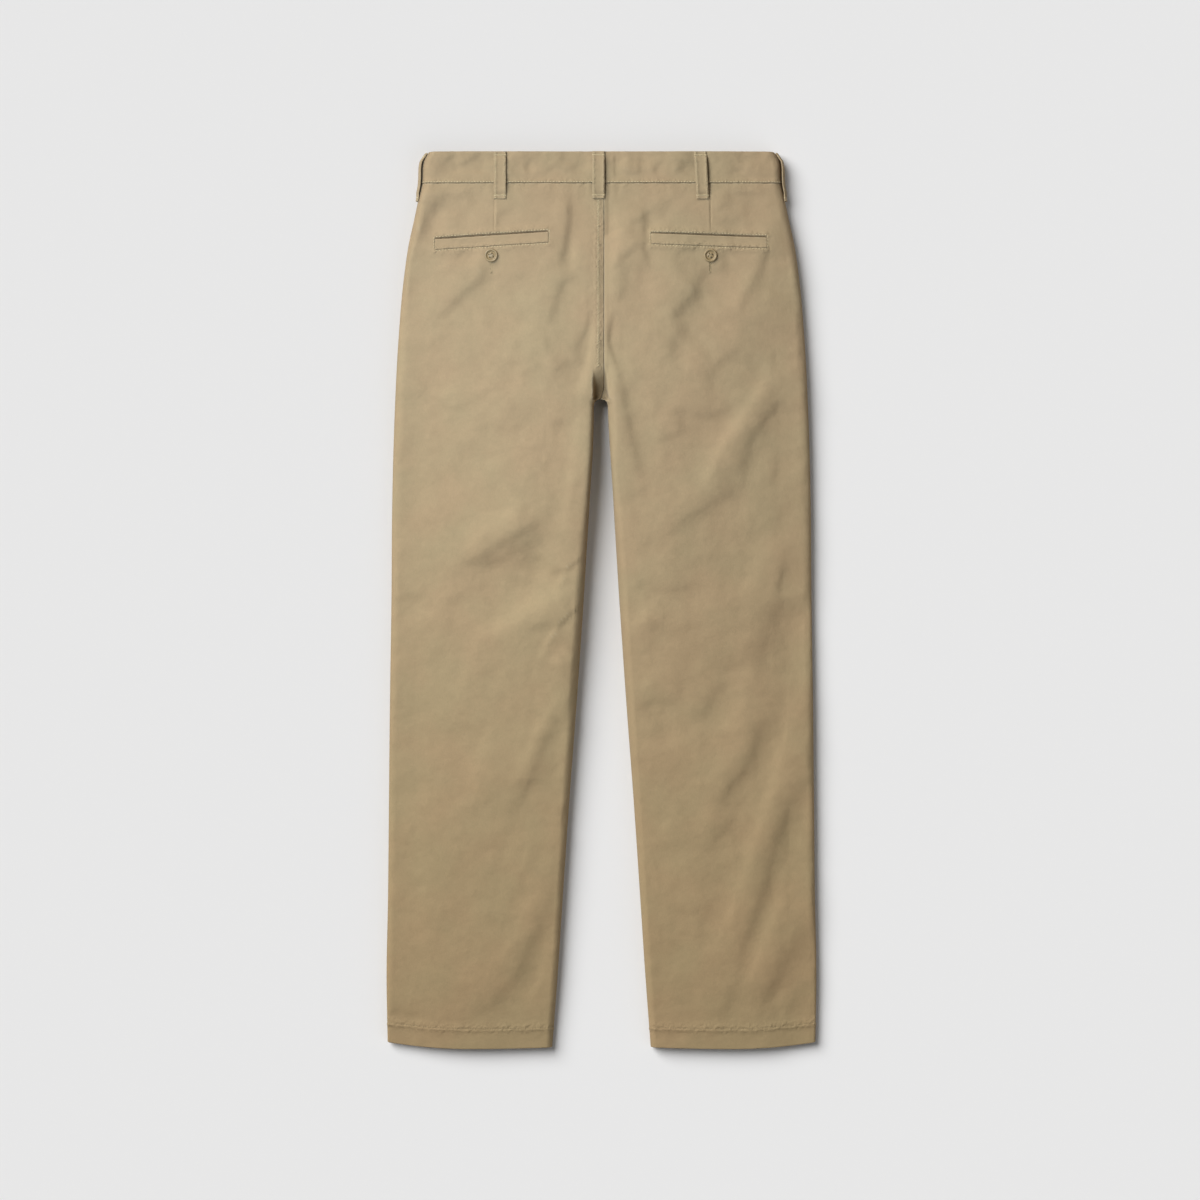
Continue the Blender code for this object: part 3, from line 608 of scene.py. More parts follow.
# %% Sewn relief of the back
Welt = namedtuple("Welt", "inner_x inner_drop outer_x outer_drop dart_top dart_foot")
WELTS = {
    LEFT: Welt(0.0637, 0.0973, 0.1997, 0.1055, 0.1280, 0.1290),
    RIGHT: Welt(0.0596, 0.0991, 0.1984, 0.1037, 0.1304, 0.1313),
}
WELT_DEPTH = 0.0125
DART_LENGTH = 0.060
DART_DEPTH = 0.0007
DART_HALF = 0.0009
DART_RIDGE = 0.0004                 # the cloth beside the dart stands up by this much
DART_RIDGE_HALF = 0.0022
BUTTONHOLES = {LEFT: 0.1322, RIGHT: 0.1304}
BUTTONHOLE_TOP = 0.1180
BUTTONHOLE_FOOT = 0.1450
POCKET_ROW_ABOVE = 0.0030           # from the slit up to the stitches over it
POCKET_ROW_BELOW = 0.0012           # from the welt down to the stitches under it
SLIT_DEPTH = 0.0032
SLIT_HALF = 0.0012
SLIT_GAPE = 0.0005                  # the slit is wider by this much in its middle
BUTTONHOLE_DEPTH = 0.0010
BUTTONHOLE_HALF = 0.0007
DRAWN_IN = 0.0004                   # how deep a stitched row beside the pocket draws the cloth
DRAWN_HALF = 0.0009
LIP_HEIGHT = 0.0009
LIP_REACH = 0.014                   # the lip falls off over this distance from the welt
UPPER_LIP = 0.0006                  # the lip above the slit is higher by this much
FELL_WIDTH = 0.0125
FELL_HEIGHT = 0.0003
SEAT_ROW = 0.0068                   # from the seat seam to the stitches of the felled strip
VALLEY_SHARE = 0.92                 # of the way down to the front panel
VALLEY_OVER_FRONT = 0.0024
VALLEY_LEFT_END = 0.0078            # the valley's floor reaches this far out on the left
VALLEY_RIGHT_END = [SeamPlace(0.255, 0.0042), SeamPlace(0.285, 0.0046), SeamPlace(0.300, 0.0072)]
VALLEY_WALL = 0.0028
VALLEY_FROM = 0.257                 # the drops between which it is there
VALLEY_TO = 0.2965
ROLL_DEPTH = 0.0006
ROLL_WIDTH = 0.030                  # from the side edge to the valley beside its roll
ROLL_SOFTNESS = 0.012
HEM_PUCKER = 0.00008                # puckers swing between narrow and wide along a seam
HEM_PUCKER_PITCH = 0.0092
HEM_LINE_DEPTH = 0.00028
HEM_FOLD_HEIGHT = 0.00042           # the fold below the stitches stands up by this much
WAIST_PUCKER = 0.00045
WAIST_PUCKER_PITCH = 0.015
WAIST_DRAWN_IN = 0.0007


def welt_share(side, x):
    """0 at the inner end of a pocket's slit and 1 at its outer end."""
    welt = WELTS[side]
    return np.clip((x - welt.inner_x) / (welt.outer_x - welt.inner_x), 0.0, 1.0)


def slit_drop(side, x):
    """Drop of the pocket's slit at x, counted outwards from the middle."""
    welt = WELTS[side]
    return welt.inner_drop + (welt.outer_drop - welt.inner_drop) * welt_share(side, x)


def pocket_relief(side, x, drop):
    """A lip round the welt, a recess under it and the open slit above it."""
    welt = WELTS[side]
    below = drop - slit_drop(side, x)
    ends = np.maximum(welt.inner_x - x, x - welt.outer_x)
    rows = np.maximum(-below, below - WELT_DEPTH)
    outside = np.hypot(np.maximum(ends, 0.0), np.maximum(rows, 0.0))
    beyond = np.maximum(ends, rows)
    lip = fade_in(beyond, -0.0003, 0.0012) * (1.0 - fade_in(outside, 0.0, LIP_REACH))
    lip_height = LIP_HEIGHT + UPPER_LIP * fade_in(-below, 0.0002, 0.0010) * fade_out(ends, 0.0010, 0.0020)
    gape = SLIT_HALF + SLIT_GAPE * np.sin(math.pi * welt_share(side, x))
    slit = groove(below + 0.0005, gape) * fade_out(ends, 0.0002, 0.0008)
    hole = groove(x - BUTTONHOLES[side], BUTTONHOLE_HALF)
    hole = hole * fade_in(drop, BUTTONHOLE_TOP, MM) * fade_out(drop, BUTTONHOLE_FOOT, MM)
    over_slit = groove(below + POCKET_ROW_ABOVE, DRAWN_HALF)
    under_welt = groove(below - WELT_DEPTH - POCKET_ROW_BELOW, DRAWN_HALF)
    drawn = (over_slit + under_welt) * fade_out(ends, 0.0016, 0.001)
    return lip_height * lip - SLIT_DEPTH * slit - BUTTONHOLE_DEPTH * hole - DRAWN_IN * drawn


def dart_groove(side, x, drop):
    """The dart's seam sinks, and the cloth pressed to one side of it stands up a little."""
    welt = WELTS[side]
    line = welt.dart_top + (welt.dart_foot - welt.dart_top) * (drop - WAISTBAND_DEPTH) / DART_LENGTH
    ends = fade_in(drop, 0.036, 0.004) * fade_out(drop, 0.099, 0.012)
    ridge = DART_RIDGE * groove(x - line + DART_RIDGE_HALF, DART_RIDGE_HALF)
    return (DART_DEPTH * groove(x - line, DART_HALF) - ridge) * ends


def seam_relief(side, x, drop):
    """The felled strip left of the seat seam, and a low swell to the right of it."""
    place = side * x - seat_seam_x(drop)
    foot = 1.0 - fade_in(drop, 0.262, 0.030)
    strip = fade_in(place, -FELL_WIDTH, 0.0016) * (1.0 - fade_in(place, -0.0005, 0.001))
    beside = 0.0004 * groove(place - 0.003, 0.002)
    return (FELL_HEIGHT * strip + beside) * foot


def crotch_valley(side, x, drop, height):
    """The felled strip dives between the two rolled legs before they part."""
    floor_end = VALLEY_LEFT_END if side == LEFT else x_at(VALLEY_RIGHT_END, drop)
    wall = fade_in(x, floor_end, VALLEY_WALL)
    begun = fade_in(drop, VALLEY_FROM, 0.038) ** 1.5
    ended = fade_in(drop, VALLEY_TO, 0.004)
    depth = np.maximum(height - inner_seam_height("front", drop) - VALLEY_OVER_FRONT, 0.0)
    return VALLEY_SHARE * depth * begun * (1.0 - ended) * (1.0 - wall)


def side_roll(side, x, drop):
    """The side edge is a soft roll: a shallow valley lies parallel to it, further in."""
    inside = along("half_width", drop) - x
    strength = 0.75 + 0.25 * np.sin(drop / 0.043 + side)
    return ROLL_DEPTH * strength * fade_in(drop, 0.100, 0.060) * groove(inside - ROLL_WIDTH, ROLL_SOFTNESS)


def hem_relief(x, drop):
    """The stitched line of the hem draws the cloth in and puckers it slightly."""
    place = drop - HEM_LINE
    puckers = HEM_PUCKER * np.sin(2 * math.pi * x / HEM_PUCKER_PITCH + 2.0 * np.sin(x / 0.031))
    line = HEM_LINE_DEPTH * groove(place, 0.0011)
    fold = HEM_FOLD_HEIGHT * groove(place - 0.0026, 0.0019)
    return fold - line + puckers * groove(place, 0.006)


def waist_relief(x, drop):
    """The panels are drawn in under the waistband, with faint puckers below it."""
    place = drop - WAISTBAND_DEPTH
    puckers = WAIST_PUCKER * np.sin(2 * math.pi * x / WAIST_PUCKER_PITCH + 2.6 * np.sin(x / 0.019))
    return -WAIST_DRAWN_IN * np.exp(-place / 0.0035) + puckers * np.exp(-place / 0.012)


# %% [markdown]
# ## The cloth's surface
#
# All of that is added up here.  The relief fades out at the seams, where two panels must
# still meet, and the front panels get only a little of it, because they lie pressed flat
# on the surface.

# %% Panel surface with its relief
SEAM_HOLD = 0.8                     # a seam holds the cloth still over this much of across
SEAT_FREEDOM = 0.45                 # but the seat seam less so than the inseam
HEM_SAGS_FROM = 0.985


def crease_relief(side, x, drop):
    """All hand-placed creases of one side, at x counted outwards."""
    total = 0.0 * (x + drop)
    for crease in CREASES:
        if crease.line[0][0] * side > 0:
            total -= crease_depth(crease, side * x, drop)
    return total


def free_share(drop):
    """Creases and swells die out where the panel is sewn under the waistband."""
    return 0.3 + 0.7 * fade_in(drop, WAISTBAND_DEPTH, 0.016)


def back_rise(side, x, drop, height, loose):
    """Creases, swells and sewn relief together; loose is 0 on a seam and 1 away from it."""
    rise = (crease_relief(side, x, drop) + unevenness(side * x, drop)) * loose * free_share(drop)
    rise = rise - side_roll(side, x, drop) * loose
    rise = rise + pocket_relief(side, x, drop) - dart_groove(side, x, drop)
    rise = rise + seam_relief(side, x, drop) - crotch_valley(side, x, drop, height)
    return rise + waist_relief(x, drop)


def back_surface(side, drop, across):
    """Outer face of a back panel with all of its relief."""
    points = panel_form("back", side, drop, across)
    drop, across = np.broadcast_arrays(np.asarray(drop, float), np.asarray(across, float))
    x = side * points[..., 0]
    off_side_seam = fade_out(across, 3.0, SEAM_HOLD)
    loose = smooth_step(across / SEAM_HOLD + (1.0 - crotch_dive(drop)) * SEAT_FREEDOM) * off_side_seam
    rise = back_rise(side, x, drop, points[..., 2], loose)
    rise = rise - HEM_SAG * fade_in(drop, HEM_SAGS_FROM, 0.100) * off_side_seam
    near_edge = fade_in(x - along("half_width", drop), -0.080, 0.072)
    rise = rise - EDGE_SAG * near_edge * fade_in(drop, 0.120, 0.080) * smooth_step(3.0 - across)
    points[..., 2] += rise
    return points + face_normals(points, side) * hem_relief(x, drop)[..., None]


def face_normals(points, facing):
    """Directions out of a grid of points; facing says which way the columns run."""
    down = np.gradient(points, axis=0)
    over = np.gradient(points, axis=1)
    normal = np.cross(down, over) * facing
    return normal / np.maximum(np.linalg.norm(normal, axis=-1, keepdims=True), 1e-12)


# %% [markdown]
# ## Rows and columns of a panel
#
# A fine even grid would spend its points on plain cloth.  So rows lie close together at
# the waist, the pockets, the crotch and the hem, and columns lie close together at the
# ends of the pockets and at the dart.  The rows near a slit follow its slant.

# %% Grid of a back panel
SLIT_ROW = 0.1015                   # the row that is moved to lie along the slit
FINE_REACH = 0.0032                 # columns are fine this far to both sides of a seam
COLUMN_COUNTS = [12, 7, 15, 8, 16, 7, 2]


def spaced(stops):
    """Values from a list of (end, count) steps, each stretch divided evenly."""
    values = [stops[0][0]]
    for (low, _), (high, count) in zip(stops, stops[1:]):
        values += list(np.linspace(low, high, count + 1)[1:])
    return np.array(values)


BACK_ROWS = spaced([(0.0384, 0), (0.044, 6), (0.060, 6), (0.0965, 12), (0.1000, 4), (0.1035, 7),
                    (0.1120, 4), (0.1165, 7), (0.130, 5), (0.185, 18), (0.255, 24), (0.285, 12),
                    (0.315, 30), (0.345, 12), (1.030, 196), (1.046, 6), (1.062, 16), (1.073, 5),
                    (1.0775, 6), (LENGTH, 2)])


def back_grid(side):
    """Drop and across of every point of a back panel."""
    welt = WELTS[side]
    rows = BACK_ROWS[:, None]
    inner = spaced([(0.0, 0), (1.0, 24)])[None, :-1]
    outer = spaced([(2.0, 0), (3.0, 14)])[None, 1:]
    flat_rows = np.minimum(rows, 0.140)
    knots = [inner_shoulder_x(flat_rows)]
    for place in (welt.inner_x, welt.dart_top, welt.outer_x):
        knots += [place - FINE_REACH + 0 * flat_rows, place + FINE_REACH + 0 * flat_rows]
    knots.append(outer_shoulder_x(flat_rows))
    parts = [knots[0]]
    for low, high, count in zip(knots, knots[1:], COLUMN_COUNTS):
        parts.append(low + (high - low) * np.linspace(0.0, 1.0, count + 1)[1:])
    flat_x = np.concatenate(parts, axis=1)
    flat = place_across(side, flat_rows, side * flat_x)
    flat[:, 0] = 1.0
    flat[:, -1] = 2.0
    across = np.concatenate([inner + 0 * rows, flat, outer + 0 * rows], axis=1)
    x = np.concatenate([np.full((len(rows), inner.shape[1]), 0.02), flat_x,
                        np.full((len(rows), outer.shape[1]), 0.22)], axis=1)
    near_slit = fade_in(rows, 0.062, 0.030) * fade_out(rows, 0.165, 0.045)
    drop = rows + near_slit * (slit_drop(side, x) - SLIT_ROW)
    return drop, across


# %% [markdown]
# ## From two faces to a piece of cloth
#
# Cloth has two faces and an edge.  Each piece is therefore a closed thin shell: a grid of
# points for the outer face, the same grid moved inwards for the inner face, and a strip
# that closes the rim.  The flat position of each point is stored as its UV, in metres, so
# that the weave follows the cloth and not the room.

# %% Shell maker
def cloth_lengths(points):
    """Distances along the rows and along the columns of a grid, as UV in metres."""
    across = np.linalg.norm(np.diff(points, axis=1), axis=-1)
    down = np.linalg.norm(np.diff(points, axis=0), axis=-1)
    u = np.concatenate([np.zeros((len(points), 1)), np.cumsum(across, axis=1)], axis=1)
    v = np.concatenate([np.zeros((1, points.shape[1])), np.cumsum(down, axis=0)], axis=0)
    return u - u[:, :1], v.mean(axis=1, keepdims=True) + 0 * v


def grid_faces(rows, columns, first, turned):
    """Quads between neighbouring points of a grid, turned over for an inner face."""
    corner = first + np.arange(rows - 1)[:, None] * columns + np.arange(columns - 1)
    quads = np.stack([corner, corner + columns, corner + columns + 1, corner + 1], axis=-1)
    quads = quads.reshape(-1, 4)
    return quads[:, ::-1] if turned else quads


def new_mesh(name, points, faces):
    """A mesh object from arrays of points and of quads or triangles."""
    mesh = bpy.data.meshes.new(name)
    mesh.from_pydata(points.tolist(), [], faces.tolist())
    mesh.shade_smooth()
    mesh.update()
    piece = bpy.data.objects.new(name, mesh)
    bpy.context.scene.collection.objects.link(piece)
    return piece


def set_flat_places(piece, flat):
    """Stores each point's place on the flat cloth as UV, in metres."""
    corners = np.empty(len(piece.data.loops), dtype=np.int32)
    piece.data.loops.foreach_get("vertex_index", corners)
    layer = piece.data.uv_layers.new(name="flat_cloth")
    layer.uv.foreach_set("vector", flat[corners].astype(np.float32).ravel())


def set_pull(piece, pull):
    """Stores how strongly a nearby seam pulls on each point, from 0 to 1."""
    layer = piece.data.attributes.new(name="seam_pull", type="FLOAT", domain="POINT")
    layer.data.foreach_set("value", pull.astype(np.float32).ravel())


def shell(name, outer, inner, flat, pull):
    """A closed thin shell between two grids of points, its faces turned outwards."""
    rows, columns = outer.shape[:2]
    count = rows * columns
    points = np.concatenate([outer.reshape(-1, 3), inner.reshape(-1, 3)])
    faces = [grid_faces(rows, columns, 0, False), grid_faces(rows, columns, count, True)]
    index = np.arange(count).reshape(rows, columns)
    rim = np.concatenate([index[0, :-1], index[:-1, -1], index[-1, :0:-1], index[:0:-1, 0]])
    following = np.roll(rim, -1)
    faces.append(np.stack([rim, following, following + count, rim + count], axis=-1))
    faces = np.concatenate(faces)
    a, b, c, d = (points[faces[:, k]] for k in range(4))
    volume = np.einsum("ij,ij->", a, np.cross(b, c)) + np.einsum("ij,ij->", a, np.cross(c, d))
    if volume < 0.0:
        faces = faces[:, ::-1]
    piece = new_mesh(name, points, faces)
    set_flat_places(piece, np.concatenate([flat.reshape(-1, 2)] * 2))
    set_pull(piece, np.concatenate([pull.ravel()] * 2))
    return piece


# %% [markdown]
# ## The back panels
#
# Two large pieces, from the waistband to the hems.  They carry the seat, the darts and the
# welt pockets, and they are what the camera sees most of.

# %% Back panels
HEM_PINCH = 0.92                    # how far the hem's fold closes: 1 would be a sharp line


def seam_pull(side, x, drop):
    """Strongest beside stitched lines: the waist, the slit, the seat seam and the hem."""
    below = drop - slit_drop(side, x)
    welt = WELTS[side]
    beside = fade_out(np.maximum(welt.inner_x - x, x - welt.outer_x), 0.006, 0.006)
    pocket = np.maximum(groove(below + 0.004, 0.004), groove(below - WELT_DEPTH - 0.002, 0.004))
    seat = groove(side * x - seat_seam_x(drop) + SEAT_ROW, 0.007) * fade_out(drop, 0.28, 0.03)
    hem = groove(drop - HEM_LINE, 0.006)
    waist = 0.7 * np.exp(-(drop - WAISTBAND_DEPTH) / 0.008)
    return np.maximum.reduce([pocket * beside, seat, hem, waist])


def turned_edge(points, normals, drop, thickness):
    """Rounds the fold at the hem: both faces close in on each other at the edge."""
    half = thickness / 2
    edge = np.clip((LENGTH - drop) / half, 0.0, 1.0)
    pinch = half * (1.0 - np.sqrt(1.0 - (1.0 - edge) ** 2)) * HEM_PINCH
    return points - normals * pinch[..., None], points - normals * (thickness - pinch)[..., None]


def add_panel(name, side, facing, points, drop, pull):
    """A leg panel from its outer face; its hem is turned up, so it is doubled there."""
    normals = face_normals(points, facing)
    thickness = CLOTH * (1.0 + fade_in(drop, HEM_LINE - 0.002, 0.002))
    outer, inner = turned_edge(points, normals, drop, thickness)
    u, v = cloth_lengths(points)
    piece = shell(name + "_cloth", outer, inner, np.stack([side * u, -v], axis=-1), pull)
    print(piece.name, len(piece.data.polygons) * 2, "triangles, cloth",
          round(float(u.max()), 3), "by", round(float(v.max()), 3), "m")
    return piece


def add_back(side):
    """A back panel, on its own fine grid."""
    drop, across = back_grid(side)
    points = back_surface(side, drop, across)
    pull = seam_pull(side, side * points[..., 0], drop)
    return add_panel("back_" + WORD[side], side, side, points, drop, pull)


backs = {side: add_back(side) for side in (LEFT, RIGHT)}

# %% [markdown]
# ## The front panels
#
# They lie face down under the backs.  Only their edges show from above, and their plain
# faces from below, with the line of stitches that holds the fly.

# %% Front panels
FRONT_ROWS = spaced([(0.0384, 0), (0.060, 6), (0.255, 40), (0.285, 10), (0.315, 20), (0.345, 8),
                     (1.040, 130), (1.062, 12), (1.073, 4), (1.0775, 6), (LENGTH, 2)])


def front_surface(side, drop, across):
    """Outer face of a front panel, which is its underside here."""
    points = panel_form("front", side, drop, across)
    drop, across = np.broadcast_arrays(np.asarray(drop, float), np.asarray(across, float))
    x = side * points[..., 0]
    held_up = fade_in(points[..., 2], 0.0008, 0.002)
    slack = smooth_step(across / SEAM_HOLD) * fade_out(across, 3.0, SEAM_HOLD) * held_up
    points[..., 2] += 0.3 * unevenness(side * x, drop) * slack
    return points


def add_front(side):
    """A front panel, on a coarser grid, since only its edges show."""
    rows = FRONT_ROWS[:, None]
    across = spaced([(0.0, 0), (1.0, 12), (2.0, 30), (3.0, 12)])[None, :]
    points = front_surface(side, rows, across)
    drop = rows + 0 * across
    pull = groove(drop - HEM_LINE, 0.006)
    return add_panel("front_" + WORD[side], side, -side, points, drop, pull)


fronts = {side: add_front(side) for side in (LEFT, RIGHT)}

# %% [markdown]
# ## The waistband
#
# A doubled strip with interlining, so it is thicker and stiffer than the panels.  It goes
# over the back, round the side and along the front, where the left end laps over the
# right one.  Its edges are folds, so all four of them are rounded.

# %% Waistband
BAND_STITCH_DROP = 0.0361
BAND_GROOVE = 0.00024
EDGE_TURN = [0.0, 0.06, 0.22, 0.5, 1.0]         # rows over a rounded edge, in half thicknesses
LEAST_EDGE = 0.12                               # an edge keeps this share of its thickness
LAPS = {LEFT: WAISTBAND_OVERLAP, RIGHT: WAISTBAND_UNDERLAP}
BAND_WRINKLES = creases(
    ("beside_centre_loop", 24, 2.2, (15, 2), (15.5, 34)),
    ("band_right", 20, 2.5, (46, 0), (45, 34)),
    ("band_right_light", -16, 4, (28, 6), (24, 20), (30, 32)),
    ("band_right_middle", 16, 5, (76, 8), (64, 20), (60, 32)),
    ("band_right_far", 12, 5, (98, 8), (92, 26)),
    ("band_left_corner", 20, 6, (-170, 2), (-188, 12), (-198, 30)),
    ("band_left_dent", 22, 5, (-140, 2), (-156, 9), (-172, 18)),
    ("band_left_low", -16, 5, (-134, 30), (-158, 24), (-186, 30)),
    ("band_middle_dent", 20, 5, (-80, 4), (-92, 16), (-86, 30)),
    ("band_middle_low", 18, 3.5, (-54, 12), (-64, 24), (-74, 34)),
    ("band_middle_small", 18, 2.5, (-34, 14), (-36, 28)),
    ("band_beside_loop", 14, 4, (-108, 4), (-104, 32)),
)


def edge_rows(low, high, middle, half):
    """Rows from low to high, close together within half a thickness of either edge."""
    turn = np.array(EDGE_TURN) * half
    return np.concatenate([low + turn, np.linspace(low + half, high - half, middle + 1)[1:-1],
                           high - turn[::-1]])


def rounded(away, half):
    """Half thickness at a distance from the edge, for an edge that is a half circle."""
    inside = np.clip(away / half, 0.0, 1.0)
    return half * np.maximum(np.sqrt(1.0 - (1.0 - inside) ** 2), LEAST_EDGE)


def band_middle(side, drop, across):
    """The face of the cloth under the band, over the back and round to the front."""
    back = panel_form("back", side, drop, across)
    x = side * back[..., 0]
    relief = 1.3 * unevenness(2.0 * side * x + 0.31, 2.0 * drop)
    for wrinkle in BAND_WRINKLES:
        if wrinkle.line[0][0] * side > 0:
            relief = relief - crease_depth(wrinkle, side * x, drop)
    relief = relief * (0.25 + 0.75 * fade_out(drop, 0.035, 0.014))
    back[..., 2] += relief * fade_out(across, 2.8, 0.6) * smooth_step(across / 0.3 + 0.3)
    return back


def band_front(side, rows, half):
    """The stretch along the front, up to the end that laps over or under the other half."""
    end = -LAPS[side]
    x = np.concatenate([np.linspace(0.188, 0.045, 26), np.linspace(0.043, end + half, 26),
                        end + half * np.array(EDGE_TURN[-2::-1])])[None, :] + 0 * rows
    set_in = LAP_STEP * fade_out(x, 0.042, 0.010) if side == RIGHT else 0.0 * x
    return np.stack([side * x, WAIST_EDGE_Y - rows + 0 * x, front_rest(rows) + set_in], axis=-1)


def add_waistband(side):
    """Half of the waistband, from the centre back to its end at the centre front."""
    half = WAISTBAND_THICKNESS / 2
    rows = edge_rows(0.0, WAISTBAND_DEPTH, 22, half)[:, None]
    over_back = np.concatenate([[0.0, 0.02, 0.06, 0.12],
                                spaced([(0.2, 0), (1.0, 12), (2.0, 72), (3.0, 16)])])
    round_front = spaced([(3.0, 0), (2.0, 14)])[1:]
    points = np.concatenate([band_middle(side, rows, over_back[None, :] + 0 * rows),
                             panel_form("front", side, rows, round_front[None, :] + 0 * rows),
                             band_front(side, rows, half)], axis=1)
    normals = face_normals(points, side)
    u, v = cloth_lengths(points)
    ends = np.minimum(u, u[:, -1:] - u)
    edges = np.minimum(rows, WAISTBAND_DEPTH - rows)
    thick = rounded(np.minimum(ends, edges), half)[..., None]
    middle = points + normals * (WAISTBAND_PROUD - half)
    below = rows - BAND_STITCH_DROP
    stitched = BAND_GROOVE * (groove(below, 0.0008) - 0.5 * groove(below - 0.0012, 0.0006))[..., None]
    outer = middle + normals * (thick - stitched)
    piece = shell("waistband_" + WORD[side] + "_cloth", outer, middle - normals * thick,
                  np.stack([side * u, -v], axis=-1), groove(below, 0.003) + 0 * u)
    print(piece.name, "length", round(float(u.max()), 3), "m")
    row = int(np.argmin(np.abs(below)))
    return piece, (outer[row], normals[row])


waistbands = {side: add_waistband(side) for side in (LEFT, RIGHT)}

# %% [markdown]
# ## Belt loops
#
# Each loop is a folded strip, tacked at the top of the waistband and 19 mm below it.
# Between its tacks it stands off the band, so that a belt can pass.

# %% Belt loops
STRAP_LENGTH = 0.057
STRAP_HALF = 0.00085                # half of the thickness of the folded strip
STRAP_REST = 0.0014                 # from the cloth to the middle of the strip at a tack
STRAP_STAND = 0.0013                # what it rises by between its tacks
STRAP_BOW = 0.0004
LOOP_ROW = 0.0019                   # from the strip's edge to its row of stitches
LOOSENESS = {"back": 1.35, "front": 0.75, "side": 1.0}       # the front ones are pressed flat
Loop = namedtuple("Loop", "name layer top_x bottom_x top_drop")
LOOPS = [
    Loop("belt_loop_centre_back", "back", -0.0036, -0.0036, 0.0000),
    Loop("belt_loop_back_left", "back", -0.1218, -0.1218, 0.0004),
    Loop("belt_loop_back_right", "back", 0.1184, 0.1214, 0.0004),
    Loop("belt_loop_front_left", "front", -0.1000, -0.1000, 0.0004),
    Loop("belt_loop_front_right", "front", 0.1000, 0.1000, 0.0004),
]
SIDE_LOOP_TOP_DROP = 0.0030
SIDE_LOOP_TOWARDS_BACK = 0.0010
SIDE_LOOP_EASE = 0.0006
SIDE_LOOP_SHARE = 0.82              # the strap is this much narrower on the cloth under it


def strap_offset(run, looseness):
    """How far the middle of the strap lies off the cloth, tacked down at both ends."""
    stand = fade_in(run, 0.004, 0.006) * fade_out(run, STRAP_LENGTH - 0.004, 0.006)
    bow = np.sin(math.pi * np.clip((run - 0.006) / (STRAP_LENGTH - 0.012), 0.0, 1.0))
    return STRAP_REST + looseness * (STRAP_STAND * stand + STRAP_BOW * bow)


def strap(name, place, top_drop, looseness):
    """A strip over the band; place gives cloth points and normals at drop and share."""
    run = edge_rows(0.0, STRAP_LENGTH, 40, STRAP_HALF)[:, None]
    share = edge_rows(-0.5, 0.5, 10, STRAP_HALF / LOOP_WIDTH)[None, :]
    points, normals = place(top_drop + run, share)
    on_band = WAISTBAND_PROUD * (1.0 - fade_in(top_drop + run, 0.036, 0.006))
    from_edge = (0.5 - np.abs(share)) * LOOP_WIDTH
    thick = rounded(np.minimum(np.minimum(run, STRAP_LENGTH - run), from_edge), STRAP_HALF)[..., None]
    middle = points + normals * (on_band + strap_offset(run, looseness))[..., None]
    flat = np.stack([share * LOOP_WIDTH + 0 * run, -run + 0 * share], axis=-1)
    pull = groove(from_edge - LOOP_ROW, 0.002) + 0 * run
    outer = middle + normals * (thick - 0.00022 * groove(from_edge - LOOP_ROW, 0.0007)[..., None])
    piece = shell(name + "_cloth", outer, middle - normals * thick, flat, pull)
    return piece, (outer, normals)


def flat_place(loop):
    """Cloth points and normals under a loop on the back or on the front."""
    def place(rows, share):
        slant = (rows - loop.top_drop) / STRAP_LENGTH
        x = loop.top_x + (loop.bottom_x - loop.top_x) * slant + LOOP_WIDTH * share
        points = np.zeros(x.shape + (3,))
        normals = np.zeros(x.shape + (3,))
        rows = rows + 0 * share
        for side in (LEFT, RIGHT):
            here = (x > SEAT_SEAM[0].x) == (side > 0)
            if here.any():
                across = place_across(side, rows[here], x[here])
                points[here] = panel_form(loop.layer, side, rows[here], across)
        points[..., 0] = x
        points[..., 1] = WAIST_EDGE_Y - rows
        normals[..., 2] = 1.0 if loop.layer == "back" else -1.0
        return points, normals
    return place


def side_place(side):
    """Cloth points and normals under a loop that bends round the side edge."""
    def cloth(rows, turn):
        back = panel_form("back", side, rows, 3.0 - np.maximum(turn, 0.0))
        front = panel_form("front", side, rows, 3.0 + np.minimum(turn, 0.0))
        return np.where((turn >= 0.0)[..., None], back, front)

    turns = np.linspace(-1.0, 1.0, 201)
    ring = cloth(np.full(turns.shape, WAISTBAND_DEPTH / 2), turns)
    lengths = np.concatenate([[0.0], np.cumsum(np.linalg.norm(np.diff(ring, axis=0), axis=1))])
    lengths -= np.interp(0.0, turns, lengths)

    def place(rows, share):
        turn = np.interp(SIDE_LOOP_SHARE * LOOP_WIDTH * share + SIDE_LOOP_TOWARDS_BACK,
                         lengths, turns)
        rows, turn = np.broadcast_arrays(rows, turn)
        points = cloth(rows, turn)
        normals = face_normals(points, -side)
        return points + SIDE_LOOP_EASE * normals, normals
    return place


belt_loops = {}
for loop in LOOPS:
    belt_loops[loop.name] = strap(loop.name, flat_place(loop), loop.top_drop, LOOSENESS[loop.layer])
for side in (LEFT, RIGHT):
    name = "belt_loop_side_" + WORD[side]
    belt_loops[name] = strap(name, side_place(side), SIDE_LOOP_TOP_DROP, LOOSENESS["side"])
print("belt loops:", len(belt_loops))

# %% [markdown]
# ## Pocket welts
#
# A welt is a narrow folded strip that closes the pocket's slit from below.  It shows as a
# flat band of cloth with a light line along its fold and the dark slit above it.

# %% Welts
WELT_HALF = 0.00055


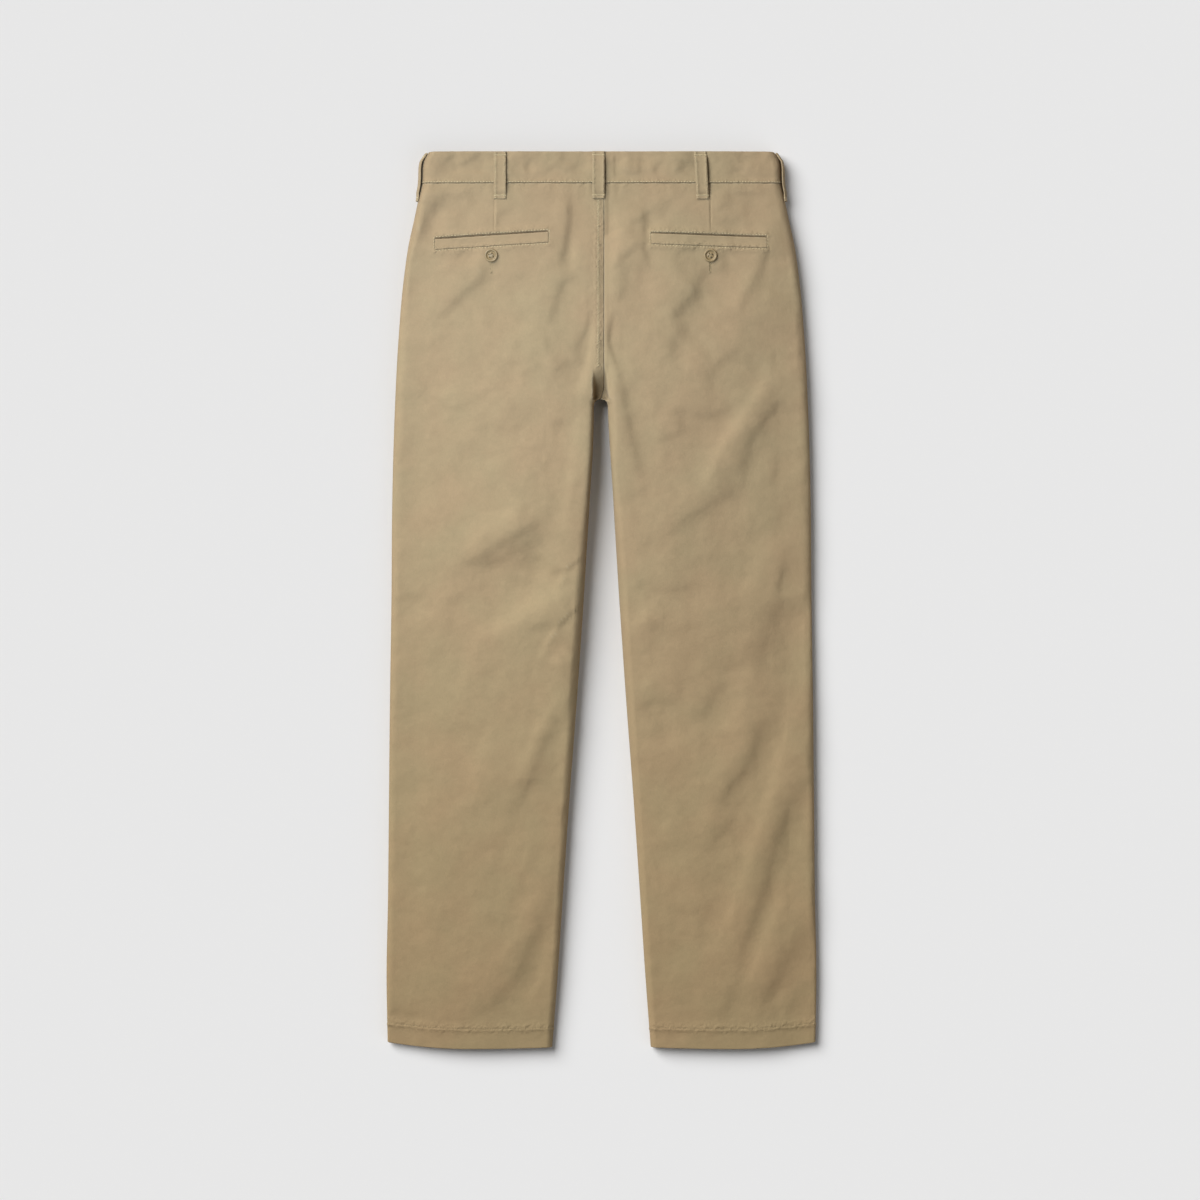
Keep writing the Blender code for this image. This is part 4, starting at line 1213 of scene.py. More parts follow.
def add_welt(side):
    """A welt just above the recess in the back panel, with all four edges rounded."""
    welt = WELTS[side]
    width = welt.outer_x - welt.inner_x
    share = edge_rows(0.0, width, 70, WELT_HALF)[None, :] / width
    rows = edge_rows(0.0, WELT_DEPTH, 14, WELT_HALF)[:, None]
    x = welt.inner_x + width * share + 0 * rows
    drop = slit_drop(side, x) + rows
    base = panel_form("back", side, drop, place_across(side, drop, side * x))
    base[..., 2] += crease_relief(side, x, drop) + unevenness(side * x, drop)
    normals = face_normals(base, side)
    away = np.minimum(np.minimum(rows, WELT_DEPTH - rows), np.minimum(share, 1.0 - share) * width)
    thick = rounded(away, WELT_HALF)[..., None]
    fold = 0.00030 * groove(rows - 0.0012, 0.0012)
    over_foot = rows - (WELT_DEPTH - 0.0016)
    lift = SEAM_GAP + WELT_HALF + fold - 0.00025 * groove(over_foot, 0.0009)
    middle = base + normals * (lift + 0 * share)[..., None]
    flat = np.stack([side * share * width + 0 * rows, -rows + 0 * share], axis=-1)
    return shell("pocket_welt_" + WORD[side] + "_cloth", middle + normals * thick,
                 middle - normals * thick, flat, groove(over_foot, 0.002) + 0 * share)


welts = {side: add_welt(side) for side in (LEFT, RIGHT)}

# %% [markdown]
# ## Colours
#
# Colours are written as hex values, as a dye card would give them, and one function turns
# them into the linear values that the shaders work with.

# %% Colour helper
def linear(hex_colour):
    """sRGB hex to linear red, green, blue and alpha."""
    values = [int(hex_colour[k:k + 2], 16) / 255 for k in (1, 3, 5)]
    values = [v / 12.92 if v <= 0.04045 else ((v + 0.055) / 1.055) ** 2.4 for v in values]
    return (*values, 1.0)


# %% [markdown]
# ## Helpers for materials
#
# A material is a tree of nodes.  These short functions add the few kinds that this garment
# needs: clouds of noise, a change of range, a mix of colours, a product and a bump.  Each
# gives back the socket that carries its result, so that one can be fed into the next.

# %% Node helpers
def fill(tree, node, inputs):
    """Sets the inputs of a node to constants, or links them to other sockets."""
    for key, value in inputs.items():
        if isinstance(value, bpy.types.NodeSocket):
            tree.links.new(value, node.inputs[key])
        else:
            node.inputs[key].default_value = value


def add_node(tree, kind, settings=None, inputs=None):
    """Adds a node, sets its properties, and fills or links its inputs."""
    node = tree.nodes.new(kind)
    for key, value in (settings or {}).items():
        setattr(node, key, value)
    fill(tree, node, inputs or {})
    return node


def new_material(name):
    """A material, its tree of nodes and the place on the object, in metres."""
    material = bpy.data.materials.new(name)
    material.use_nodes = True
    tree = material.node_tree
    return material, tree, add_node(tree, "ShaderNodeTexCoord").outputs["Object"]


def noise(tree, place, grain, detail, roughness=0.5, distortion=0.0):
    """Clouds of about one grain size."""
    return add_node(tree, "ShaderNodeTexNoise", {}, {
        "Vector": place, "Scale": 1 / grain, "Detail": detail, "Roughness": roughness,
        "Distortion": distortion}).outputs["Fac"]


def ranged(tree, value, source, target=(0.0, 1.0), kind="LINEAR"):
    """Stretches one range of values to another."""
    return add_node(tree, "ShaderNodeMapRange", {"interpolation_type": kind}, {
        "Value": value, "From Min": source[0], "From Max": source[1],
        "To Min": target[0], "To Max": target[1]}).outputs["Result"]


def mixed(tree, share, first, second, kind="MIX"):
    """A mix of two colours."""
    return add_node(tree, "ShaderNodeMix", {"data_type": "RGBA", "blend_type": kind}, {
        "Factor": share, "A": first, "B": second}).outputs["Result"]


def product(tree, first, second):
    """Two values multiplied."""
    return add_node(tree, "ShaderNodeMath", {"operation": "MULTIPLY"}, {
        0: first, 1: second}).outputs["Value"]


def bumped(tree, height, strength, distance, below=None):
    """Normals that follow a height, on top of another bump if one is given."""
    inputs = {"Height": height, "Strength": strength, "Distance": distance}
    if below is not None:
        inputs["Normal"] = below
    return add_node(tree, "ShaderNodeBump", {}, inputs).outputs["Normal"]


def finish_shader(material, inputs):
    """Feeds the material's main shader."""
    fill(material.node_tree, material.node_tree.nodes["Principled BSDF"], inputs)
    return material


# %% [markdown]
# ## Cotton twill
#
# The cloth is a washed cotton twill: fine diagonal ribs, a dry matt face and a faint bloom
# of fibres.  Real ribs lie 0.6 mm apart, which is under one pixel here, so they are drawn
# 1.0 mm apart and kept faint.  The dye took unevenly, so the khaki drifts between a
# greener and a pinker tone over a few centimetres.  On top of that, painted light makes
# the khaki paler and greyer towards the waist and darker towards the hems.

# %% Twill material
KHAKI_LEG = "#947E5C"
# painted light: the paler, greyer khaki at the waist stands in for the lamp's light there
KHAKI_PAINTED_LIGHT_AT_WAIST = "#968162"
KHAKI_WORN = "#AB9A7C"
DYE_GREENER = (0.984, 1.006, 0.992, 1.0)
DYE_PINKER = (1.020, 0.990, 0.984, 1.0)
DYE_DRIFT = 0.070                   # size of a greener or pinker patch
TWILL_PITCH = 0.0010
SLUB_WIDTH = 0.0007
SLUB_LENGTH = 0.006


def twill(name):
    """Washed twill: dye with painted light, weave and relief."""
    material, tree, place = new_material(name)
    flat = add_node(tree, "ShaderNodeUVMap", {"uv_map": "flat_cloth"}).outputs["UV"]

    # the dye: greener and pinker drifts, and worn along the edges; painted light makes it paler and greyer
    # towards the waist
    drift = ranged(tree, noise(tree, place, DYE_DRIFT, 2.0), (0.35, 0.65))
    dye = mixed(tree, drift, DYE_GREENER, DYE_PINKER)
    height = add_node(tree, "ShaderNodeSeparateXYZ", {}, {"Vector": place}).outputs["Y"]
    # painted light: the colour turns from the darker khaki at the hems to the paler one at the waist
    fade = ranged(tree, height, (-0.45, 0.45), kind="SMOOTHSTEP")
    dye_and_painted_light = mixed(tree, 1.0, mixed(tree, fade, linear(KHAKI_LEG), linear(KHAKI_PAINTED_LIGHT_AT_WAIST)), dye, "MULTIPLY")
    edges = add_node(tree, "ShaderNodeNewGeometry").outputs["Pointiness"]
    worn = ranged(tree, edges, (0.515, 0.56), (0.0, 0.5))
    rubbed = mixed(tree, worn, dye_and_painted_light, linear(KHAKI_WORN))

    # the weave: diagonal ribs, slubs along the threads and a faint cloudiness
    slant = add_node(tree, "ShaderNodeMapping", {}, {
        "Vector": flat, "Rotation": (0.0, 0.0, math.radians(45)),
        "Scale": (1 / TWILL_PITCH, 1 / TWILL_PITCH, 1.0)}).outputs["Vector"]
    ribs = add_node(tree, "ShaderNodeTexWave", {"wave_type": "BANDS", "bands_direction": "X"}, {
        "Vector": slant, "Scale": 0.314, "Distortion": 0.6, "Detail": 1.0,
        "Detail Scale": 1.5}).outputs["Fac"]
    threads = add_node(tree, "ShaderNodeMapping", {}, {
        "Vector": flat, "Scale": (1 / SLUB_WIDTH, 1 / SLUB_LENGTH, 1.0)}).outputs["Vector"]
    rib_tone = ranged(tree, ribs, (0.0, 1.0), (0.93, 1.05))
    slub_tone = ranged(tree, noise(tree, threads, 1.0, 3.0, 0.6), (0.25, 0.75), (0.955, 1.045))
    cloud_tone = ranged(tree, noise(tree, place, 0.010, 4.0, 0.6), (0.3, 0.7), (0.965, 1.035))
    tones = product(tree, product(tree, rib_tone, slub_tone), cloud_tone)
    colour = add_node(tree, "ShaderNodeVectorMath", {"operation": "SCALE"}, {
        "Vector": rubbed, "Scale": tones}).outputs["Vector"]

    # the relief: crumpled all over, puckered beside stitches, ribbed by the weave
    pull = add_node(tree, "ShaderNodeAttribute", {"attribute_name": "seam_pull"}).outputs["Fac"]
    puckers = product(tree, noise(tree, place, 0.0045, 1.0), pull)
    soft = bumped(tree, noise(tree, place, 0.016, 3.0, 0.55), 0.8, 0.0012)
    sewn = bumped(tree, puckers, 0.9, 0.0020, soft)
    woven = bumped(tree, ribs, 0.35, 0.00012, sewn)
    return finish_shader(material, {
        "Base Color": colour, "Normal": woven, "Roughness": 0.88, "Specular IOR Level": 0.25,
        "Sheen Weight": 0.12, "Sheen Roughness": 0.5, "Sheen Tint": linear("#E9DDC4")})


washed_twill = twill("washed_khaki_cotton_twill")
band_twill = twill("doubled_khaki_cotton_twill")
print("twill ribs", TWILL_PITCH / MM, "mm apart")

# %% [markdown]
# ## Stitches
#
# Every visible stitch is a short thread that lies on the cloth and dives into it at both
# ends.  One small lozenge of points is copied along each seam, and all stitches of a seam
# become one joined mesh.

# %% Stitch maker
STITCH_SIDES = 6
STITCH_FLATNESS = 0.8
Ring = namedtuple("Ring", "place girth lift")
STITCH_RINGS = [Ring(-0.50, 0.30, -0.40), Ring(-0.36, 0.85, 0.25), Ring(0.00, 1.00, 0.60),
                Ring(0.36, 0.85, 0.25), Ring(0.50, 0.30, -0.40)]


def stitch_mesh(name, starts, ends, normals, radius):
    """Threads from starts to ends, as rings of points; all stitches are one mesh."""
    run = ends - starts
    length = np.linalg.norm(run, axis=1, keepdims=True)
    run = run / length
    sideways = np.cross(normals, run)
    sideways /= np.linalg.norm(sideways, axis=1, keepdims=True)
    middle = (starts + ends) / 2
    turn = np.linspace(0.0, 2 * math.pi, STITCH_SIDES, endpoint=False)
    rings = []
    for ring in STITCH_RINGS:
        centre = middle + run * length * ring.place + normals * radius * ring.lift
        wide = (np.cos(turn) * ring.girth * radius)[None, :, None]
        tall = (np.sin(turn) * ring.girth * radius * STITCH_FLATNESS)[None, :, None]
        rings.append(centre[:, None] + sideways[:, None] * wide + normals[:, None] * tall)
    points = np.stack(rings, axis=1).reshape(-1, 3)
    count = len(STITCH_RINGS) * STITCH_SIDES
    a = np.arange(count - STITCH_SIDES)
    b = a - a % STITCH_SIDES + (a + 1) % STITCH_SIDES
    faces = np.stack([a, b, b + STITCH_SIDES, a + STITCH_SIDES], axis=-1)
    faces = faces[None] + (np.arange(len(starts)) * count)[:, None, None]
    piece = new_mesh(name, points, faces.reshape(-1, 4))
    print(name, len(starts), "stitches")
    return piece


Seam = namedtuple("Seam", "points normals")
PROBE = 0.0004                      # the slope of the cloth is read over this distance


def stitch_row(seam, pitch, gap):
    """Starts, ends and normals of evenly spaced stitches along a seam."""
    steps = np.linalg.norm(np.diff(seam.points, axis=0), axis=1)
    lengths = np.concatenate([[0.0], np.cumsum(steps)])
    count = max(int(lengths[-1] / pitch), 1)
    at = np.arange(count) * pitch

    def read(values, where):
        return np.stack([np.interp(where, lengths, values[:, k]) for k in range(3)], axis=-1)

    return (read(seam.points, at + gap / 2), read(seam.points, at + pitch - gap / 2),
            read(seam.normals, at))


def sew(name, seams, radius=0.00026, pitch=0.0027, gap=0.0006):
    """All stitches of some seams, as one piece."""
    rows = [stitch_row(seam, pitch, gap) for seam in seams]
    starts, ends, normals = (np.concatenate([row[k] for row in rows]) for k in range(3))
    return stitch_mesh(name, starts, ends, normals, radius)


def back_surface_at(side, x, drop):
    """Points of a back panel at x counted outwards, above the crotch."""
    points = panel_form("back", side, drop, place_across(side, drop, side * x))
    points[..., 0] = side * x
    points[..., 2] += back_rise(side, x, drop, points[..., 2], 1.0)
    return points


def back_line(side, x, drop):
    """A seam on a back panel through places given as x counted outwards, and drop."""
    wide = np.stack([x - PROBE, x, x + PROBE], axis=-1)
    tall = np.stack([drop] * 3, axis=-1)
    points = back_surface_at(side, wide, tall)
    higher = back_surface_at(side, wide, tall - PROBE)
    over = points[:, 2] - points[:, 0]
    up = higher[:, 1] - points[:, 1]
    normal = np.cross(over, up) * side
    normal /= np.linalg.norm(normal, axis=1, keepdims=True)
    return Seam(points[:, 1], normal)


# %% [markdown]
# ### Pockets and seat seam
#
# A row of stitches frames each pocket: one row above the slit, one below the welt and a
# short one at each end.  The allowance of the seat seam is held by slanted stitches.

# %% Stitches of the pockets and the seat
def pocket_seams(side):
    """The four rows round a pocket."""
    welt = WELTS[side]
    x = np.linspace(welt.inner_x - 0.0006, welt.outer_x + 0.0006, 120)
    foot = WELT_DEPTH + POCKET_ROW_BELOW
    rows = [back_line(side, x, slit_drop(side, x) + shift) for shift in (-POCKET_ROW_ABOVE, foot)]
    down = np.linspace(-POCKET_ROW_ABOVE, foot, 12)
    for end in (welt.inner_x - POCKET_ROW_BELOW, welt.outer_x + POCKET_ROW_BELOW):
        x = np.full(len(down), end)
        rows.append(back_line(side, x, slit_drop(side, x) + down))
    return rows


pocket_stitches = sew("stitches_of_the_pockets", pocket_seams(LEFT) + pocket_seams(RIGHT),
                      radius=0.00048, pitch=0.0037, gap=0.0014)
SLANT_PITCH = 0.0033
SLANT_REACH = 0.0016                # half of a slanted stitch, both across and down
seat_drop = np.arange(0.043, 0.258, SLANT_PITCH)
seat_x = -(seat_seam_x(seat_drop) - SEAT_ROW)
slant_top = back_line(LEFT, seat_x - SLANT_REACH, seat_drop - SLANT_REACH)
slant_foot = back_line(LEFT, seat_x + SLANT_REACH, seat_drop + SLANT_REACH)
seat_stitches = stitch_mesh("stitches_of_the_seat_seam", slant_top.points, slant_foot.points,
                            slant_top.normals, 0.00040)


# %% [markdown]
# ### Hems
#
# The hem is turned up inside and held by one row all round the leg.  A short grid of three
# rows over the line gives the points of the seam and the way that the cloth faces there.

# %% Stitches of the hems
HemRow = namedtuple("HemRow", "surface facing proud")
HEM_ROWS = [
    HemRow(back_surface, 1, 0.0002),
    HemRow(front_surface, -1, -0.0003),         # pressed into the cloth by the surface below
]


def hem_seam(row, side):
    """One row over a panel at the hem."""
    across = np.linspace(0.02, 2.98, 160)[None, :]
    drop = np.array([-0.0006, 0.0, 0.0006])[:, None] + HEM_LINE
    points = row.surface(side, drop, across + 0 * drop)
    normals = face_normals(points, side * row.facing)
    return Seam(points[1] + row.proud * normals[1], normals[1])


hem_seams = [hem_seam(row, side) for row in HEM_ROWS for side in (LEFT, RIGHT)]
hem_stitches = sew("stitches_of_the_hems", hem_seams, radius=0.00026, pitch=0.0030, gap=0.0009)


# %% [markdown]
# ### Waistband and belt loops
#
# One row runs along the lower edge of the waistband.  Each loop has two rows near its
# edges, and at both ends a bar tack: close short stitches side by side.

# %% Stitches of the waistband and the belt loops
def loop_seams(face):
    """Two rows near the edges of a loop, read from columns of its outer face."""
    outer, normals = face
    sunk = 0.00005 * normals
    return [Seam((outer - sunk)[2:-2, k], normals[2:-2, k]) for k in (5, -6)]


def tack_seams(face):
    """Bars of close stitches that hold a loop down at both ends."""
    outer, normals = face
    at = np.linspace(3, outer.shape[1] - 4, 22)
    k = at.astype(int)
    t = (at - k)[:, None]
    bars = []
    for row, step in ((6, 1), (-7, -1)):
        start, end = (outer[r, k] * (1 - t) + outer[r, k + 1] * t for r in (row, row + step))
        bars.append((start, end, normals[row, k]))
    return bars


band_seams = [Seam(points[5:-5], normals[5:-5]) for _, (points, normals) in waistbands.values()]
band_stitches = sew("stitches_of_the_waistband", band_seams,
                    radius=0.00050, pitch=0.0035, gap=0.0012)
loop_faces = [face for _, face in belt_loops.values()]
loop_stitches = sew("stitches_of_the_loops", [seam for face in loop_faces for seam in loop_seams(face)],
                    radius=0.00028, pitch=0.0025)
tacks = [bar for face in loop_faces for bar in tack_seams(face)]
tack_stitches = stitch_mesh("bar_tacks_of_the_loops", *map(np.concatenate, zip(*tacks)), 0.00030)

# %% [markdown]
# ## The fly's stitches
#
# Under the garment the fly is held by a row that runs down beside the centre seam and
# curves into it, like a J.

# %% Stitches of the fly
FLY_WIDTH = 0.036
FLY_DEPTH = 0.185
FLY_STOP = 0.004                    # the row ends this far from the centre seam
FLY_PRESSED_IN = 0.0003


def fly_seam():
    """A straight row and a quarter circle."""
    turn = np.linspace(0.0, math.pi / 2, 30)
    straight = np.linspace(0.042, FLY_DEPTH - FLY_WIDTH, 40)
    x = np.concatenate([np.full(40, FLY_WIDTH), FLY_WIDTH * np.cos(turn)])
    drop = np.concatenate([straight, FLY_DEPTH - FLY_WIDTH + FLY_WIDTH * np.sin(turn)])
    x, drop = x[x > FLY_STOP], drop[x > FLY_STOP]
    points = panel_form("front", LEFT, drop, place_across(LEFT, drop, -x))
    points[:, 0] = -x
    points[:, 2] += FLY_PRESSED_IN
    return Seam(points, np.tile([0.0, 0.0, -1.0], (len(points), 1)))


fly_stitches = sew("stitches_of_the_fly", [fly_seam()], radius=0.00026)

# %% [markdown]
# ## Buttons
#
# Turned resin, dyed to match: a raised rounded rim, a dished middle and four thread holes.
# Spinning half of the outline gives the body, and four pins cut the holes.

# %% Buttons
BUTTON_RADIUS = 0.0080
BUTTON_THICKNESS = 0.0026
HOLE_RADIUS = 0.0010
HOLE_SPACING = 0.0034
BUTTON_STEPS = 72
RIM_RESTS = 0.6                     # share of the height of the cloth round it that lifts a button
BUTTON_STANDS = 0.0009              # room for the thread under the button
Button = namedtuple("Button", "name layer x drop")
BUTTONS = [
    Button("pocket_button_left", "back", -BUTTONHOLES[LEFT], 0.1253),
    Button("pocket_button_right", "back", BUTTONHOLES[RIGHT], 0.1253),
    Button("waist_button", "front", 0.0080, 0.0190),
]
ButtonCorner = namedtuple("ButtonCorner", "radius height")
BUTTON_PROFILE = [ButtonCorner(*corner) for corner in (
    (0.00, 0.00), (0.70, 0.00), (0.84, 0.08), (0.95, 0.26), (1.00, 0.48), (0.98, 0.74),
    (0.93, 0.92), (0.86, 1.00), (0.78, 0.97), (0.71, 0.80), (0.66, 0.54), (0.61, 0.32),
    (0.54, 0.26), (0.48, 0.36), (0.42, 0.56), (0.34, 0.62), (0.00, 0.58))]


def button_seat(button):
    """Where a button lies: the middle of its underside and the way it faces."""
    if button.layer == "front":
        place = np.array([button.x, WAIST_EDGE_Y - button.drop, front_rest(button.drop)])
        return place - [0.0, 0.0, WAISTBAND_PROUD + SEAM_GAP], np.array([0.0, 0.0, -1.0])
    side = RIGHT if button.x > 0.0 else LEFT
    line = back_line(side, np.array([abs(button.x)]), np.array([button.drop]))
    turn = np.linspace(0.0, 2 * math.pi, 25)
    rim = back_line(side, abs(button.x) + BUTTON_RADIUS * np.cos(turn),
                    button.drop + BUTTON_RADIUS * np.sin(turn))
    normal = np.mean(rim.normals, axis=0)
    normal /= np.linalg.norm(normal)
    lift = max(0.0, float(np.max((rim.points - line.points[0]) @ normal)))
    return line.points[0] + normal * (RIM_RESTS * lift + BUTTON_STANDS), normal


def finished(mesh, name):
    """Turns an editable mesh into mesh data."""
    data = bpy.data.meshes.new(name)
    mesh.to_mesh(data)
    mesh.free()
    return data


def button_body(name):
    """Half of the outline, spun once round."""
    mesh = bmesh.new()
    outline = [mesh.verts.new((c.radius * BUTTON_RADIUS, 0.0, c.height * BUTTON_THICKNESS))
               for c in BUTTON_PROFILE]
    edges = [mesh.edges.new(pair) for pair in zip(outline, outline[1:])]
    bmesh.ops.spin(mesh, geom=outline + edges, axis=(0, 0, 1), cent=(0, 0, 0), dvec=(0, 0, 0),
                   angle=2 * math.pi, steps=BUTTON_STEPS, use_merge=True)
    bmesh.ops.remove_doubles(mesh, verts=mesh.verts, dist=0.00001)
    bmesh.ops.recalc_face_normals(mesh, faces=mesh.faces)
    return finished(mesh, name)


def hole_pins(name):
    """Four cylinders where the thread goes through."""
    mesh = bmesh.new()
    for x_sign in (-1, 1):
        for y_sign in (-1, 1):
            middle = Vector((x_sign, y_sign, 0.0)) * HOLE_SPACING / 2
            bmesh.ops.create_cone(mesh, cap_ends=True, segments=20, radius1=HOLE_RADIUS,
                                  radius2=HOLE_RADIUS, depth=BUTTON_THICKNESS * 3,
                                  matrix=Matrix.Translation(middle))
    return finished(mesh, name)


def placed_on(place, normal):
    """The move that stands something upright on a place of the cloth."""
    turn = Vector(normal).to_track_quat("Z", "Y").to_matrix().to_4x4()
    return Matrix.Translation(Vector(place)) @ turn


def add_button(button):
    """A button with its holes cut, laid on the cloth that it is sewn to."""
    place, normal = button_seat(button)
    body = bpy.data.objects.new(button.name + "_resin", button_body(button.name))
    pins = bpy.data.objects.new(button.name + "_pins", hole_pins(button.name + "_pins"))
    for piece in (body, pins):
        bpy.context.scene.collection.objects.link(piece)
    cut = body.modifiers.new("thread_holes", "BOOLEAN")
    cut.operation = "DIFFERENCE"
    cut.solver = "EXACT"
    cut.object = pins
    bpy.context.view_layer.update()
    seen = body.evaluated_get(bpy.context.evaluated_depsgraph_get())
    data = bpy.data.meshes.new_from_object(seen)
    body.modifiers.clear()
    body.data = data
    bpy.data.objects.remove(pins, do_unlink=True)
    data.transform(placed_on(place, normal))
    data.shade_smooth()
    data.set_sharp_from_angle(angle=math.radians(35))
    print(body.name, len(data.polygons), "faces at", np.round(place, 4).tolist())
    return body


buttons = {button.name: add_button(button) for button in BUTTONS}

# %% [markdown]
# ### Button thread and buttonholes
#
# The thread crosses between the holes.  Each pocket button is done up: below it shows the
# end of its buttonhole, a slit with close stitches on both sides and a bar at its foot.

# %% Button thread and buttonholes
BUTTONHOLE_BELOW = 0.0200           # the buttonhole shows this far below the button's middle
BUTTONHOLE_PITCH = 0.00042
BUTTONHOLE_NEAR = 0.00035           # its stitches begin this far from the slit
BUTTONHOLE_FAR = 0.00135            # and end this far from it
BUTTONHOLE_BAR_HALF = 0.0015        # half of the length of the bar at its foot
THREAD_LEVEL = 0.68                 # of the button's thickness
THREAD_STEP = 0.00035               # from one thread to the next


def button_threads():
    """Three threads side by side through each pair of holes."""
    starts, ends, normals = [], [], []
    half = HOLE_SPACING / 2
    for button in BUTTONS:
        place, normal = button_seat(button)
        turned = placed_on(place, normal)
        for x in [sign * half + k * THREAD_STEP for sign in (-1, 1) for k in (-1, 0, 1)]:
            starts.append(turned @ Vector((x, -half, THREAD_LEVEL * BUTTON_THICKNESS)))
            ends.append(turned @ Vector((x, half, THREAD_LEVEL * BUTTON_THICKNESS)))
            normals.append(normal)
    return (np.array(values, float) for values in (starts, ends, normals))


def buttonhole_stitches():
    """Close stitches on both sides of the slit below each pocket button."""
    starts, ends, normals = [], [], []
    for button in BUTTONS[:2]:
        side = RIGHT if button.x > 0.0 else LEFT
        x = abs(button.x)
        drop = np.arange(button.drop - 0.002, button.drop + BUTTONHOLE_BELOW, BUTTONHOLE_PITCH)
        for sign in (1, -1):
            near = back_line(side, x + sign * BUTTONHOLE_NEAR + 0 * drop, drop)
            starts.append(near.points)
            ends.append(back_line(side, x + sign * BUTTONHOLE_FAR + 0 * drop, drop).points)
            normals.append(near.normals)
        foot = button.drop + BUTTONHOLE_BELOW + np.array([-0.0006, 0.0, 0.0006, 0.0012])
        starts.append(back_line(side, x - BUTTONHOLE_BAR_HALF + 0 * foot, foot).points)
        ends.append(back_line(side, x + BUTTONHOLE_BAR_HALF + 0 * foot, foot).points)
        normals.append(back_line(side, x + 0 * foot, foot).normals)
    return (np.concatenate(values) for values in (starts, ends, normals))


button_thread = stitch_mesh("thread_of_the_buttons", *button_threads(), 0.00030)
buttonholes = stitch_mesh("stitches_of_the_buttonholes", *buttonhole_stitches(), 0.00030)

# %% [markdown]
# ## Resin and thread
#
# The buttons are polyester resin with a satin gloss, a little browner than the cloth and
# faintly clouded.  The thread is spun polyester, slightly glossier than cotton.  Along the
# topstitched seams it is paler than the cloth, and at the hems and buttons it is darker.

# %% Resin and thread materials
def button_resin():
    """Satin resin with faint clouds and fine scratches."""
    material, tree, place = new_material("satin_khaki_resin")
    clouds = noise(tree, place, 0.004, 3.0, distortion=1.2)
    scratches = noise(tree, place, 0.0009, 4.0)
    return finish_shader(material, {
        "Base Color": mixed(tree, clouds, linear("#7F6A47"), linear("#967F59")),
        "Roughness": ranged(tree, scratches, (0.0, 1.0), (0.42, 0.58)), "IOR": 1.54})


def spun_thread(name, dark, light):
    """Thread whose plies are alternately darker and lighter."""
    material, tree, place = new_material(name)
    plies = noise(tree, place, 0.0006, 2.0)
    return finish_shader(material, {
        "Base Color": mixed(tree, plies, linear(dark), linear(light)),
        "Roughness": 0.6, "Sheen Weight": 0.1})


resin = button_resin()
topstitch_thread = spun_thread("pale_spun_thread", "#A9966F", "#C6B48C")
button_cotton = spun_thread("spun_khaki_thread", "#7C6947", "#9A8661")

# %% [markdown]
# ## What each piece stands for
#
# Each piece takes the place of its solid, which is hidden, moves with the garment, and gets
# its material.

# %% Places, finishes and cuts
Cut = namedtuple("Cut", "width length area rests_on")


def finish_piece(piece, material):
    """Gives a piece its material and ties it to the garment."""
    piece.data.materials.clear()
    piece.data.materials.append(material)
    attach(piece, "root")


def lay_cloth(piece, node, material):
    """Finishes a sheet and hides the solid that it stands for."""
    finish_piece(piece, material)
    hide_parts(node)


for side, word in WORD.items():
    lay_cloth(backs[side], "back_" + word, washed_twill)
    lay_cloth(fronts[side], "front_" + word, washed_twill)
    lay_cloth(waistbands[side][0], "waistband_" + word, band_twill)
    lay_cloth(welts[side], "pocket_welt_" + word, band_twill)
for name, (piece, _) in belt_loops.items():
    lay_cloth(piece, name, band_twill)
for name, piece in buttons.items():
    finish_piece(piece, resin)
    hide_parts(name)
for piece in (pocket_stitches, band_stitches, loop_stitches, tack_stitches, fly_stitches,
              seat_stitches):
    finish_piece(piece, topstitch_thread)
for piece in (hem_stitches, button_thread, buttonholes):
    finish_piece(piece, button_cotton)

# %% [markdown]
# ## Surface and light
#
# The garment lies on a pale matt board.  A large soft key lamp stands at the upper left, and
# a white card at the lower right and the room fill its shadows a little.  Both are suns with
# a wide angle, which act like large panels far away.  A small soft lamp near the waist lights
# the cloth only, so the legs grow darker towards the hems while the board stays even.

# %% Board and lights
BOARD_COLOUR = "#EDEDED"
ROOM_FILL = 0.085                   # share of the board's light that comes from the whole room
Lamp = namedtuple("Lamp", "name bearing elevation spread share colour")
LAMPS = [
    Lamp("soft_key", 140.0, 42.0, 46.0, 0.775, (1.00, 1.00, 1.00)),
    Lamp("white_card", -40.0, 30.0, 60.0, 0.085, (1.01, 1.00, 0.99)),
]

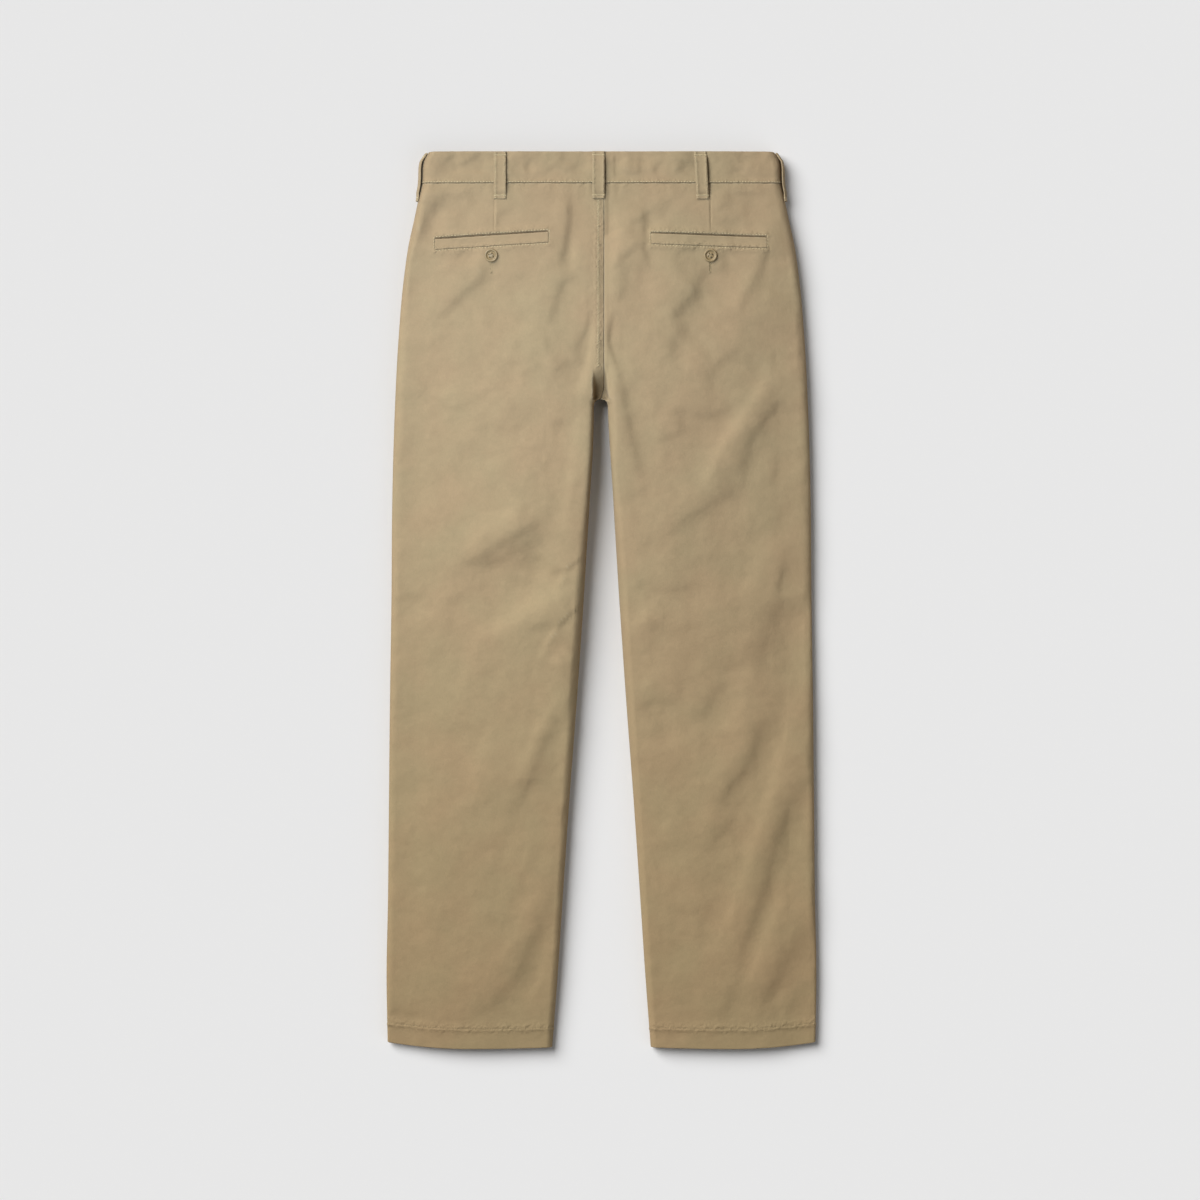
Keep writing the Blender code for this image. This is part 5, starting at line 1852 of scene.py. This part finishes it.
BOARD_REACH = 6.0                   # from its middle to its edges
BOARD_SUNK = 0.00005                # the cloth lies just clear of it
board_mesh = bpy.data.meshes.new("floor")
board_mesh.from_pydata([(-BOARD_REACH, -BOARD_REACH, 0), (BOARD_REACH, -BOARD_REACH, 0),
                        (BOARD_REACH, BOARD_REACH, 0), (-BOARD_REACH, BOARD_REACH, 0)],
                       [], [(0, 1, 2, 3)])
board = bpy.data.objects.new("floor", board_mesh)
board.location.z = -BOARD_SUNK
bpy.context.scene.collection.objects.link(board)
board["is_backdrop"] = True


def matt_board():
    """Painted board: nearly white, quite matt, with a trace of grain."""
    material, tree, place = new_material("matt_painted_board")
    return finish_shader(material, {
        "Base Color": linear(BOARD_COLOUR), "Roughness": 0.95, "Specular IOR Level": 0.1,
        "Normal": bumped(tree, noise(tree, place, 0.0025, 2.0), 0.05, 0.0002)})


board_mesh.materials.append(matt_board())

world = bpy.data.worlds.new("white_room")
world.use_nodes = True
world.node_tree.nodes["Background"].inputs["Color"].default_value = (1.0, 1.0, 1.0, 1.0)
world.node_tree.nodes["Background"].inputs["Strength"].default_value = ROOM_FILL
bpy.context.scene.world = world

for row in LAMPS:
    elevation = math.radians(row.elevation)
    bearing = math.radians(row.bearing)
    towards_lamp = Vector((math.cos(elevation) * math.cos(bearing),
                           math.cos(elevation) * math.sin(bearing), math.sin(elevation)))
    lamp_data = bpy.data.lights.new(row.name, "SUN")
    lamp_data.angle = math.radians(row.spread)
    lamp_data.energy = math.pi * row.share / math.sin(elevation)
    lamp_data.color = row.colour
    lamp = bpy.data.objects.new(row.name, lamp_data)
    lamp.rotation_euler = towards_lamp.to_track_quat("Z", "Y").to_euler()
    bpy.context.scene.collection.objects.link(lamp)

NEAR_LAMP_PLACE = Vector((-0.38, 0.34, 0.86))
NEAR_LAMP_AIM = Vector((0.0, 0.25, 0.0))
near_data = bpy.data.lights.new("near_soft_lamp", "AREA")
near_data.shape = "DISK"
near_data.size = 0.5
near_data.energy = 7.3
near_data.color = (0.64, 0.80, 1.00)
near = bpy.data.objects.new("near_soft_lamp", near_data)
near.location = NEAR_LAMP_PLACE
near.rotation_euler = (NEAR_LAMP_PLACE - NEAR_LAMP_AIM).to_track_quat("Z", "Y").to_euler()
bpy.context.scene.collection.objects.link(near)
garment = bpy.data.collections.new("garment")
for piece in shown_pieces():
    garment.objects.link(piece)
near.light_linking.receiver_collection = garment

bpy.context.scene.view_settings.view_transform = "Standard"
